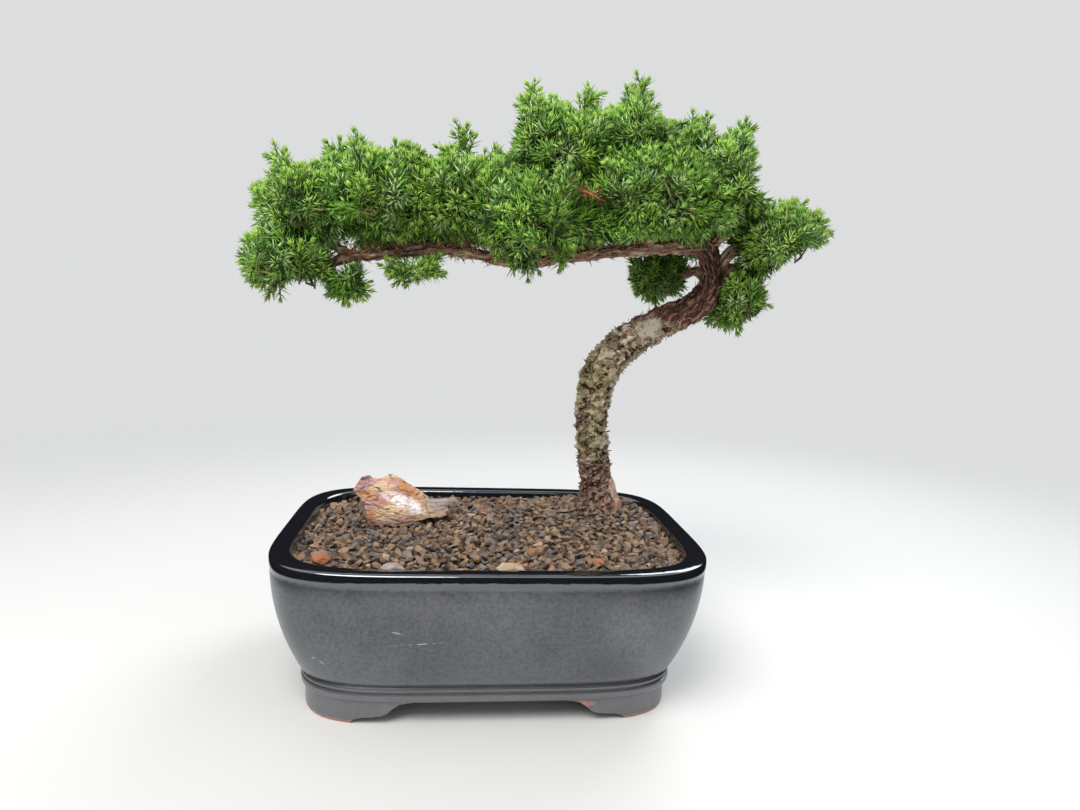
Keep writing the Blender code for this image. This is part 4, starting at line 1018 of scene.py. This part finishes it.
# Each bough's parent, the share of the parent's length where it leaves, its radii and its line
BOUGHS = {
    "long_bough": ("trunk", 0.96, (3.4, 1.9),
        ((100, 17.5, 234.5), (67, 14, 230.5), (31, 10, 224.6), (14, 9, 220.8), (-12, 8, 224.4),
         (-31, 8, 226), (-56, 8, 222.8), (-78, 8, 219.6), (-90, 8, 215))),
    "apex_bough": ("trunk", 0.94, (4.0, 2.8), ((118, 29, 244), (109, 30, 257), (94, 29, 268))),
    "upper_left_bough": ("apex_bough", 0.75, (2.8, 2.0), ((84, 24, 262), (72, 23, 263), (60, 23, 266))),
    "right_upper_bough": ("trunk", 0.955, (3.2, 2.4), ((126, 17, 243), (128, 18, 250))),
    "right_bough": ("trunk", 0.9, (3.1, 2.3), ((132, 18, 233), (139, 17, 235.5))),
    "lower_right_bough": ("trunk", 0.84, (2.4, 1.9),
        ((135, 24, 224), (140, 24, 222), (141.5, 24, 217))),
    "back_bough": ("trunk", 0.86, (2.9, 2.0), ((119, 34, 222), (114, 43, 221))),
    "back_right_bough": ("apex_bough", 0.3, (2.8, 2.3), ((115, 41, 251),)),
    "left_upper_bough": ("long_bough", 0.93, (1.9, 1.6), ((-88, 10, 226),)),
    "left_middle_bough": ("long_bough", 0.79, (1.9, 1.6), ((-54, 9, 232),)),
    "spire_bough": ("long_bough", 0.64, (1.9, 1.6), ((-21, 10, 235),)),
    "front_bough": ("long_bough", 0.17, (2.3, 1.8), ((80, 8, 238),)),
    "centre_bough": ("long_bough", 0.4, (2.2, 1.8), ((28, 1, 228),)),
    "back_centre_bough": ("long_bough", 0.33, (2.3, 1.7), ((46, 22, 233), (38, 36, 240))),
    "back_left_bough": ("long_bough", 0.71, (2.0, 1.5), ((-42, 20, 230), (-48, 29, 235))),
}
FIBRE_SHREDS = ((3.0, 8.0), (0.25, 0.55), (6.0, 32.0))
SHREDS_PER_MM = 1.6
DRY_LEAVES = (340, (6.0, 12.0), (0.40, 0.75), (25.0, 80.0))
DRY_SPRAY = (90, (3.0, 6.0), (0.3, 0.5), (25.0, 70.0))
DRY_TWIG = ((29, -16, 261.5, 0.4), (37, -19, 257.5, 0.6), (45, -20, 254.5, 0.7), (53, -13, 252, 0.7))
DRY_RUST = (0.300, 0.105, 0.040)
DRY_TAN = (0.470, 0.215, 0.090)


def fibrous_bark():
    """Red under-bark with paler strands that follow each limb."""
    material, tree, shader = finish("fibrous_bark", 0.88)
    tone = toned(tree, BARK_RED, FIBRE_BROWN, FIBRE_PALE, 0.12)
    greyed = times(mottle(tree, 110, 0.46, 0.64, 3.0), 0.45)
    tone = mixed(greyed, tone, toned(tree, BARK_DARK, BARK_TAN, BARK_PALE))
    feed(shader, "Base Color", tone)
    bump(shader, mottle(tree, 700, 0.3, 0.7, 5.0), 0.3)
    return material


limbs = {"trunk": smooth_line(TRUNK_LINE, 7.5)}
young_bark = fibrous_bark()
for name, (parent, share, (thick, thin), line) in BOUGHS.items():
    root = limbs[parent][int(round(share * (len(limbs[parent]) - 1)))][:3]
    spots = [root] + [np.array(spot, float) for spot in line]
    steps = len(spots) - 1
    stations = [(*spot, thick + (thin - thick) * k / steps) for k, spot in enumerate(spots)]
    limbs[name] = smooth_line(stations, 4.0)
    rings = bark_rings(smooth_line(stations, BOUGH_STEP), BOUGH_SIDES, strand_relief)
    settle(place("bark_" + name, skin("bark_" + name, *rings), young_bark), "young_bark", name)

shreds = []
for number, (name, line) in enumerate(limbs.items()):
    fibrous = line if name != "trunk" else smooth_line(TRUNK_LINE, 2.0)
    fibrous = fibrous[fibrous[:, 2] > (196.0 if name == "trunk" else 0.0)]
    run = np.linalg.norm(np.diff(fibrous[:, :3], axis=0), axis=1).sum()
    shreds.append(flakes(fibrous, 20 + number, int(run * SHREDS_PER_MM), *FIBRE_SHREDS))
shreds = [np.concatenate(lot) for lot in zip(*[
    (points, triangles + 5 * sum(len(other[0]) // 5 for other in shreds[:number]), slots)
    for number, (points, triangles, slots) in enumerate(shreds)
])]
peeling = finish("peeling_under", 0.9, BARK_RED)[0], finish("peeling_fibre", 0.9, FIBRE_TAN)[0]
bark_shreds = place("bark_shreds", array_mesh("bark_shreds", *shreds), *peeling)
settle(bark_shreds, "young_bark", *BOUGHS, "trunk")
dry = finish("dry_leaf_under", 0.8, DRY_RUST)[0], finish("dry_leaf", 0.8, DRY_TAN)[0]
dry_leaves = array_mesh("dry_leaves", *flakes(limbs["long_bough"], 5, *DRY_LEAVES, on_top=True))
settle(place("dry_leaves", dry_leaves, *dry), "young_bark", "long_bough")
dry_line = smooth_line(DRY_TWIG, 0.8)
dry_twig = skin("dry_twig", *bark_rings(dry_line, 8, lambda spot, run, turn, radius: (0.0, 0.5)))
settle(place("dry_twig", dry_twig, dry[1]), "young_bark", "upper_left_bough")
dry_spray = array_mesh("dry_spray", *flakes(dry_line, 6, *DRY_SPRAY))
settle(place("dry_spray", dry_spray, *dry), "young_bark", "upper_left_bough")

# Foliage
# Dense juniper foliage: twigs fork from each limb's end into short shoots, ringed by threes
# of stiff needles with a pale upper face, and closed by tight yellow-green growing tips.
RAGGED = 4.0
# Each mass's limb, its middle and half sizes, the tips of its sprays and, where it doesn't grow
# from the limb's end, the share of the limb's length where it does
MASS_ROWS = {
    "left_tip": ("long_bough", (-108, 6, 216), (28, 32, 25),
        ((-134, 5, 225), (-133, 6, 204), (-121, 4, 195))),
    "left_upper": ("left_upper_bough", (-98, 10, 248), (34, 36, 28),
        ((-131, 8, 250), (-120, 9, 274), (-86, 15, 227))),
    "left_middle": ("left_middle_bough", (-60, 8, 254), (42, 36, 29),
        ((-91, 9, 278), (-79, 9, 283), (-66, 8, 277), (-50, 10, 283), (-43, 10, 281), (-73, 14, 226))),
    "left_spire": ("spire_bough", (-17, 10, 253), (42, 36, 28),
        ((-22, 14, 295), (-31, 11, 284), (2, 12, 283))),
    "centre_front": ("centre_bough", (24, -12, 242), (44, 28, 29), ((10, -12, 211), (34, -14, 214))),
    "apex_left": ("upper_left_bough", (32, 18, 281), (38, 38, 33),
        ((12, 20, 320), (7, 18, 312), (24, 16, 311), (34, 18, 312), (51, 20, 319))),
    "apex_right": ("apex_bough", (73, 24, 286), (38, 40, 34),
        ((77, 25, 329), (68, 22, 322), (61, 22, 311), (83, 24, 317), (93, 20, 304))),
    "right_front": ("front_bough", (82, -8, 257), (44, 30, 31),
        ((64, 10, 236), (80, 10, 240), (96, 9, 242))),
    "right_upper": ("right_upper_bough", (120, 16, 272), (36, 40, 35),
        ((100, 18, 306), (109, 20, 310), (119, 18, 300), (132, 20, 303), (140, 20, 308),
         (145, 17, 293), (146, 16, 280), (129, 10, 237))),
    "right_droop": ("right_bough", (158, 14, 240), (32, 34, 27),
        ((189, 15, 250), (183, 14, 257), (171, 12, 265), (161, 12, 267), (187, 14, 243),
         (134, -4, 241), (133, -2, 229))),
    "lower_right": ("lower_right_bough", (141, 24, 206), (23, 28, 24),
        ((158, 20, 208), (136, 22, 186), (120, 26, 192), (128, 0, 218), (127, 1, 205))),
    "back_lower": ("back_bough", (103, 60, 219), (28, 24, 21), ((84, 60, 210), (99, 62, 199))),
    "back_right": ("back_right_bough", (104, 60, 260), (46, 30, 34), ()),
    "back_centre": ("back_centre_bough", (28, 58, 256), (50, 30, 34), ()),
    "back_left": ("back_left_bough", (-50, 46, 246), (48, 28, 29), ()),
    "under_left": ("long_bough", (-78, 4, 207), (19, 20, 13), ((-66, 4, 198), (-84, 3, 195)), 0.9),
    "under_middle": ("long_bough", (-43, 2, 214), (20, 16, 12),
        ((-62, -1, 214), (-57, -2, 209), (-48, -3, 209), (-36, -2, 215), (-27, -2, 217)), 0.74),
}
MASS_KEYS = ("limb", "middle", "half", "tips", "share")
MASSES = {name: dict(zip(MASS_KEYS, row)) for name, row in MASS_ROWS.items()}
# The line that the crown was clipped to, as seen from the front: heights along its top and
# along its underside, where the foliage ends
CROWN_TOP = (
    (-138, 222), (-134, 240), (-131, 248), (-127, 261), (-122, 262), (-119, 274), (-112, 268),
    (-105, 268), (-98, 271), (-92, 281), (-85, 275), (-77, 284), (-70, 278), (-62, 278),
    (-50, 283), (-43, 281), (-37, 276), (-31, 284), (-26, 293), (-21, 296), (-16, 288), (-13, 276),
    (-4, 278), (3, 283), (6, 300), (8, 315), (14, 318), (21, 314), (24, 309), (33, 310), (40, 304),
    (46, 307), (51, 317), (56, 308), (61, 308), (66, 320), (73, 325), (80, 320), (82, 305),
    (92, 302), (100, 305), (110, 308), (117, 300), (120.5, 292), (129, 301), (135, 305),
    (137, 300), (138.5, 288), (140, 276), (142, 268), (153, 266), (164, 264), (172, 262), (182, 257),
    (187, 247), (190, 238),
)
CROWN_UNDER = (
    (-138, 212), (-135, 206), (-130, 195), (-121, 195), (-116, 203), (-104, 206), (-96, 205),
    (-92, 197), (-84, 194), (-71, 198), (-68, 209), (-65, 215), (-57, 208), (-49, 209), (-44, 216),
    (-14, 218), (-4, 213), (4, 211), (16, 212), (22, 217), (56, 223), (70, 222), (74, 205),
    (81, 198), (92, 201), (100, 206), (106, 204), (112, 194), (124, 188), (131, 186), (145, 194),
    (153, 202), (155, 216), (162, 226), (170, 234), (190, 240),
)
# Where the long bough is kept clear of needles in front, and the chinks of sky by the trunk
BARE_SPANS = ((-88, -8), (19, 101))
BARE_BELOW = 3.6
BARE_ABOVE = 5.0
CHINKS = (((107.0, 216.0), 3.5),)
# A hollow in the front of the crown, under an overhanging spray
HOLLOW_AT = (46.0, -32.0, 245.0)
HOLLOW_RADIUS = 17.0
# Shells that the shoots end on, as millimetres in from a mass's half sizes, with the shoots'
# spacing and lengths there, and how many side shoots each one forks into
SHELLS = (
    dict(inset=4.0, apart=9.6, length=(15.0, 22.0), forks=(2, 4)),
    dict(inset=10.0, apart=9.8, length=(13.0, 19.0), forks=(1, 3)),
    dict(inset=17.0, apart=12.0, length=(12.0, 16.0), forks=(1, 2)),
)
LEADER = dict(length=(20.0, 26.0), forks=(8, 11), inset=5.5)
PULLS = (1.0, 0.94, 0.88, 0.80, 0.72, 0.62, 0.5)
CELL_MARGIN = -5.0
LIMB_CLEAR = 2.2
LIFT = 0.50
TOWARDS_VIEWER = 0.35
WANDER = 0.26
FORK_SPREAD = (28.0, 44.0)
FORK_LENGTH = (7.0, 12.0)
STEM_RADII = (1.3, 0.7)
TWIG_RADII = (0.75, 0.45)
AXIS_RADII = (0.62, 0.50, 0.35)


def in_cell(points, own):
    """Which points keep to the flat-sided share of the crown of one mass."""
    home = MASSES[own]
    near = ((points - np.array(home["middle"])) ** 2).sum(-1) - np.mean(home["half"]) ** 2
    inside = np.ones(len(points), bool)
    for name, other in MASSES.items():
        if name != own:
            far = ((points - np.array(other["middle"])) ** 2).sum(-1) - np.mean(other["half"]) ** 2
            apart = np.linalg.norm(np.subtract(other["middle"], home["middle"]))
            inside &= (far - near) / (2 * apart) > CELL_MARGIN
    return inside


def off_limbs(points, clear):
    """Which points lie at least so far from the bark of every limb."""
    free = np.ones(len(points), bool)
    for line in limbs.values():
        start, run = line[:-1, :3], line[1:, :3] - line[:-1, :3]
        offset = points[:, None] - start[None]
        share = np.clip((offset * run).sum(-1) / (run**2).sum(-1), 0.0, 1.0)
        gap = np.linalg.norm(offset - share[..., None] * run, axis=-1) - line[:-1, 3]
        free &= gap.min(1) > clear
    return free


def as_seen(points):
    """Where the camera sees these points, on the upright plane through the long bough."""
    eye = np.array(CAMERA_AT)
    scale = (limbs["long_bough"][:, 1].mean() - eye[1]) / (points[..., 1] - eye[1])
    return eye[0] + (points[..., 0] - eye[0]) * scale, eye[2] + (points[..., 2] - eye[2]) * scale


def left_by_shears(points, reach):
    """Which points, with needles of this reach, the shears and the bough leave room for."""
    x, z = as_seen(points)
    keep = np.ones(len(points), bool)
    for over in (-reach, 0.0, reach):
        keep &= z + reach < np.interp(x + over, *np.transpose(CROWN_TOP))
        keep &= z - reach > np.interp(x + over, *np.transpose(CROWN_UNDER))
    keep &= (x - reach > CROWN_TOP[0][0]) & (x + reach < CROWN_TOP[-1][0])
    for (across, up), radius in CHINKS:
        keep &= np.hypot(x - across, z - up) > radius + 0.5 * reach
    keep &= np.linalg.norm(points - np.array(HOLLOW_AT), axis=-1) > HOLLOW_RADIUS
    bough = limbs["long_bough"][::-1]
    offset = z - np.interp(x, bough[:, 0], bough[:, 2])
    for start, end in BARE_SPANS:
        hidden = (x > start) & (x < end) & (offset > -BARE_BELOW) & (offset < BARE_ABOVE)
        hidden &= points[:, 1] < bough[:, 1].mean() - 4.0
        keep &= ~hidden
    return keep


def mass_stem(mass):
    """The stem's line from its limb to the middle of the mass."""
    limb = limbs[mass["limb"]]
    heart = np.array(mass["middle"], float)
    if "share" in mass:
        root = limb[int(round(mass["share"] * (len(limb) - 1)))][:3]
        out = unit(heart - root)
    else:
        root = limb[-1][:3]
        out = unit(limb[-1][:3] - limb[-2][:3])
    bend = root + out * 0.45 * np.linalg.norm(heart - root)
    thick, thin = STEM_RADII
    return smooth_line([(*root, thick), (*bend, (thick + thin) / 2), (*heart, thin)], 4.0)


def main_shoots(name, rng):
    """Tips, directions, lengths and shells of the main shoots of one mass."""
    mass = MASSES[name]
    heart, half = np.array(mass["middle"], float), np.array(mass["half"], float)
    tips, ways, lengths, shells = [], [], [], []
    for rank, shell in enumerate(SHELLS):
        size = half - np.minimum(shell["inset"], half * (rank + 1) * 0.25)
        area = 4 * math.pi * ((np.roll(size, 1) * size) ** 1.6).mean() ** (1 / 1.6)
        count = int(area / shell["apart"] ** 2)
        level = 1.0 - 2.0 * (np.arange(count) + 0.5) / count
        turn = GOLDEN_TURN * np.arange(count) + len(name) + rank
        flat = np.sqrt(1.0 - level**2)
        sphere = np.stack((flat * np.cos(turn), flat * np.sin(turn), level), -1)
        full = sphere * size * rng.uniform(0.9, 1.04, (count, 1)) + rng.normal(0.0, 1.2, (count, 3))
        out = unit(sphere / size) * (1.0, TOWARDS_VIEWER, 1.0)
        rising = np.clip(level + 0.7, 0.0, 1.0)[:, None] * (0.0, 0.0, LIFT)
        out = unit(out + rng.normal(0.0, WANDER, (count, 3)) + rising)
        long = rng.uniform(*shell["length"], count)
        waiting = np.ones(count, bool)
        ragged = rng.uniform(0.0, RAGGED, count)
        for pull in PULLS:
            tip = heart + full * pull
            fits = waiting & in_cell(tip, name)
            for share, reach in ((0.0, 1.8), (0.35, 3.0), (0.7, 1.5)):
                spot = tip - out * long[:, None] * share
                fits &= off_limbs(spot, LIMB_CLEAR) & left_by_shears(spot, reach + ragged)
            tips.append(tip[fits])
            ways.append(out[fits])
            lengths.append(np.minimum(long, 1.1 * np.linalg.norm(tip - heart, axis=1))[fits])
            shells.append(np.full(int(fits.sum()), rank))
            waiting &= ~fits
    if mass["tips"]:
        tip = np.array(mass["tips"], float)
        away = unit(tip - heart)
        tips.append(tip - away * LEADER["inset"])
        ways.append(unit(away + rng.normal(0.0, 0.08, tip.shape)))
        long = rng.uniform(*LEADER["length"], len(tip))
        lengths.append(np.minimum(long, np.linalg.norm(tip - heart, axis=1)))
        shells.append(np.full(len(tip), -1))
    return np.vstack(tips), np.vstack(ways), np.concatenate(lengths), np.concatenate(shells)


def grow(name):
    """One mass: its stem line with radii, its twigs as paths, and its shoots with their colour and
    shell.
    """
    rng = np.random.default_rng(sum(map(ord, name)))
    heart = np.array(MASSES[name]["middle"], float)
    stem = mass_stem(MASSES[name])
    tips, ways, lengths, shells = main_shoots(name, rng)
    bases = tips - ways * lengths[:, None]
    order = np.argsort(np.linalg.norm(bases - heart, axis=1))
    joints = [row[:3] for row in stem[len(stem) // 4:]]
    paths, shoots = [], []
    for index in order:
        base, way, length, shell = bases[index], ways[index], lengths[index], shells[index]
        offset = base - np.array(joints)
        gaps = np.linalg.norm(offset, axis=1)
        nearest = int((gaps + 0.8 * np.maximum(0.0, -offset @ way)).argmin())
        joint, reach = joints[nearest], gaps[nearest]
        t = np.linspace(0.0, 1.0, 5)[:, None]
        pull = base - way * 0.15 * reach
        paths.append(joint * (1 - t) ** 2 + 2 * pull * t * (1 - t) + base * t**2)
        joints += [base, base + way * length * 0.3]
        kind = rng.integers(0, 100)
        shoots.append((base, way, length, shell, kind, 0))
        low, high = LEADER["forks"] if shell < 0 else SHELLS[shell]["forks"]
        side, across = frame_of(way)
        turn = rng.uniform(0.0, math.tau)
        count = rng.integers(low, high + 1)
        for fork in range(count):
            turn += GOLDEN_TURN + rng.uniform(-0.4, 0.4)
            spread = math.radians(rng.uniform(*FORK_SPREAD))
            out = side * math.cos(turn) + across * math.sin(turn)
            share = 0.30 + 0.55 * (fork + rng.uniform(0.0, 0.8)) / count
            fork_way = unit(way * math.cos(spread) + out * math.sin(spread) + np.array((0, 0, 0.12)))
            fork_base = base + way * length * share
            fork_length = rng.uniform(*FORK_LENGTH) * (1.15 - 0.5 * share)
            fork_tip = (fork_base + fork_way * fork_length)[None]
            if shell < 0 or (left_by_shears(fork_tip, 2.5) & in_cell(fork_tip, name))[0]:
                shoots.append((fork_base, fork_way, fork_length, shell, kind, 1))
    return stem, paths, shoots


def tubes(paths, radii, sides):
    """Closed tapering tubes round paths of equal length: their points and triangles."""
    paths, radii = np.asarray(paths, float), np.asarray(radii, float)
    count, rings = paths.shape[:2]
    ahead = np.concatenate((paths[:, 1:], 2 * paths[:, -1:] - paths[:, -2:-1]), 1)
    along = unit(ahead - np.concatenate((2 * paths[:, :1] - paths[:, 1:2], paths[:, :-1]), 1))
    side, across = frame_of(along)
    turn = math.tau * np.arange(sides) / sides
    out = side[..., None, :] * np.cos(turn)[:, None] + across[..., None, :] * np.sin(turn)[:, None]
    points = paths[:, :, None] + out * radii[..., None, None]
    row, corner = np.meshgrid(np.arange(rings - 1), np.arange(sides), indexing="ij")
    after = (corner + 1) % sides
    a, b = row * sides + corner, row * sides + after
    one = np.stack((a, b, b + sides), -1).reshape(-1, 3)
    two = np.stack((a, b + sides, a + sides), -1).reshape(-1, 3)
    fan = np.array([(0, k + 1, k) for k in range(1, sides - 1)])
    last = (rings - 1) * sides + fan[:, ::-1]
    faces = np.vstack((one, two, fan, last))
    faces = faces[None] + (np.arange(count) * rings * sides)[:, None, None]
    return points.reshape(-1, 3), faces.reshape(-1, 3)


def twig_bark(name, dark, pale):
    material, tree, shader = finish(name, 0.8)
    feed(shader, "Base Color", mixed(mottle(tree, 90, 0.4, 0.6), dark, pale))
    return material


stems, shoots, twig_paths = [], [], []
for name in MASSES:
    stem, paths, grown = grow(name)
    stems.append(bark_rings(stem, 10, lambda spot, run, turn, radius: (0.0, 0.3)))
    twig_paths += paths
    shoots += grown
    limbs[name + "_stem"] = stem
twig_radii = np.linspace(*TWIG_RADII, 5)[None].repeat(len(twig_paths), 0)
base, way, length, shell, kind, forked = (np.array(column) for column in zip(*shoots))
axes = base[:, None] + way[:, None] * (length[:, None] * np.array((-0.05, 0.5, 0.93)))[..., None]
axis_radii = np.array(AXIS_RADII)[None].repeat(len(base), 0)
twigs = place("twigs", array_mesh("twigs", *tubes(twig_paths, twig_radii, 4)),
              twig_bark("twig_bark", (0.062, 0.046, 0.020), (0.125, 0.095, 0.040)))
settle(twigs, "young_bark", *MASSES)
green_axes = place("shoot_axes", array_mesh("shoot_axes", *tubes(axes, axis_radii, 3)),
                   twig_bark("green_stem", (0.075, 0.120, 0.030), (0.160, 0.200, 0.060)))
settle(green_axes, "juniper_needles", *MASSES)
for name, rings in zip(MASSES, stems):
    settle(place("stem_" + name, skin("stem_" + name, *rings), young_bark), "young_bark", name)

# Needles
# Each is a stiff pointed blade 5 to 7 mm long with a keeled green back and a paler, bluish
# upper face. They stand in threes, wide at the foot of a shoot and closer towards its tip.
PITCH = 2.4
NEEDLE_LENGTH = 7.5
NEEDLE_WIDTH = 0.60
NEEDLE_KEEL = 0.36
SPREAD = (70.0, 30.0)
BARE_SHARE = {0: 0.22, 1: 0.08}
SUNLIT_DEPTH = 16.0
TIP_SCALES = 7
TIP_LENGTH = 3.5
TIP_WIDTH = 0.62
MOST_TRIANGLES = 190000
# Back and upper face of each kind, and the share of the sprays that it takes on each shell
NEEDLE_KINDS = {
    "needles_green": ((0.148, 0.358, 0.029), (0.345, 0.590, 0.128)),
    "needles_blue": ((0.138, 0.325, 0.046), (0.490, 0.720, 0.285)),
    "needles_bright": ((0.215, 0.450, 0.032), (0.400, 0.650, 0.120)),
    "needles_deep": ((0.030, 0.095, 0.010), (0.080, 0.180, 0.035)),
}
# Inner shells take mostly the deep kind, partly older darker needles and partly painted shade; leaders
# and the outer shell take more of the bright kind, fresh growth partly with painted light
DEALT = {-1: (40, 48, 100), 0: (38, 66, 94), 1: (30, 48, 54), 2: (12, 17, 19)}
TIP_KINDS = {"tips_fresh": (0.290, 0.490, 0.070), "tips_yellow": (0.380, 0.550, 0.085)}


def needle_finish(name, colour, roughness=0.42):
    material, tree, shader = finish(name, roughness)
    shaded = [channel * 0.72 for channel in colour]
    tone = mixed(mottle(tree, 42, 0.35, 0.65, 2.0), shaded, colour)
    feed(shader, "Base Color", tone)
    shader.inputs["Specular IOR Level"].default_value = 0.35
    return material


def needles(owner, along_share, turn, long, spread, width, keel):
    """Blades that stand round their shoots at these shares of its length and these turns."""
    along = way[owner]
    side, across = frame_of(along)
    out = side * np.cos(turn)[:, None] + across * np.sin(turn)[:, None]
    root = base[owner] + along * (length[owner] * along_share)[:, None]
    aim = along * np.cos(spread)[:, None] + out * np.sin(spread)[:, None]
    upper = along * np.sin(spread)[:, None] - out * np.cos(spread)[:, None]
    return blades(root, aim, upper, long, width, keel)


def leaf_piece(name, blades_of, picked, *finishes):
    """One piece of the picked blades."""
    made = needles(*(column[picked] for column in blades_of))
    settle(place(name, array_mesh(name, *made), *finishes), "juniper_needles", *MASSES)


rng = np.random.default_rng(8)
bare = np.where(forked == 1, BARE_SHARE[1], BARE_SHARE[0])
whorls = np.maximum(3, (length * (1.0 - bare) / PITCH).astype(int))
owner = np.repeat(np.arange(len(base)), whorls * 3)
rank = np.concatenate([np.arange(count * 3) for count in whorls])
share = (rank // 3 + rng.uniform(0.2, 0.8, len(rank))) / whorls[owner]
turn = (rank % 3) * math.tau / 3 + (rank // 3) * math.tau / 6 + rng.normal(0.0, 0.16, len(rank))
turn += rng.uniform(0.0, math.tau, len(base))[owner]
swell = 0.82 + 0.30 * np.sin(math.pi * np.clip(share * 0.9 + 0.1, 0.0, 1.0)) - 0.34 * share**3
long = NEEDLE_LENGTH * swell * rng.uniform(0.86, 1.12, len(rank))
long *= np.where(forked == 1, 0.82, 1.0)[owner]
spread = np.radians(SPREAD[0] + (SPREAD[1] - SPREAD[0]) * share**1.15 + rng.normal(0.0, 6.0, len(rank)))
along_share = bare[owner] + (0.97 - bare[owner]) * share
width = NEEDLE_WIDTH * rng.uniform(0.85, 1.1, len(rank))
keel = np.full(len(rank), NEEDLE_KEEL)
limits = np.array([DEALT[number] for number in shell])
dealt = (kind[:, None] >= limits).sum(1)
every = (owner, along_share, turn, long, spread, width, keel)
for number, (name, (back, upper)) in enumerate(NEEDLE_KINDS.items()):
    finishes = needle_finish(name + "_back", back), needle_finish(name + "_upper", upper, 0.5)
    chosen = np.flatnonzero(dealt[owner] == number)
    lots = max(1, math.ceil(len(chosen) * 6 / MOST_TRIANGLES))
    for lot, picked in enumerate(np.array_split(chosen, lots)):
        leaf_piece(f"{name}_{lot + 1}", every, picked, *finishes)

ends = base + way * length[:, None]
seen_x, seen_z = as_seen(ends)
sunlit = np.interp(seen_x, *np.transpose(CROWN_TOP)) - seen_z < SUNLIT_DEPTH
tipped = np.flatnonzero((shell < 0) | (sunlit & (shell == 0)) | (kind % 5 == 0))
owner = np.repeat(tipped, TIP_SCALES)
rank = np.tile(np.arange(TIP_SCALES), len(tipped))
turn = rank * GOLDEN_TURN + rng.uniform(0.0, math.tau, len(base))[owner]
share = rank / (TIP_SCALES - 1)
spread = np.radians(34.0 - 26.0 * share + rng.normal(0.0, 4.0, len(rank)))
long = TIP_LENGTH * (1.0 - 0.18 * share) * rng.uniform(0.85, 1.15, len(rank))
along_share = 0.94 + 0.5 * share / length[owner]
width = TIP_WIDTH * rng.uniform(0.9, 1.15, len(rank))
keel = np.full(len(rank), 0.55)
every = (owner, along_share, turn, long, spread, width, keel)
for number, (name, colour) in enumerate(TIP_KINDS.items()):
    picked = np.flatnonzero((kind[owner] % 4 == 0) == (number == 1))
    fresh = needle_finish(name, colour, 0.5)
    leaf_piece(name, every, picked, fresh, fresh)
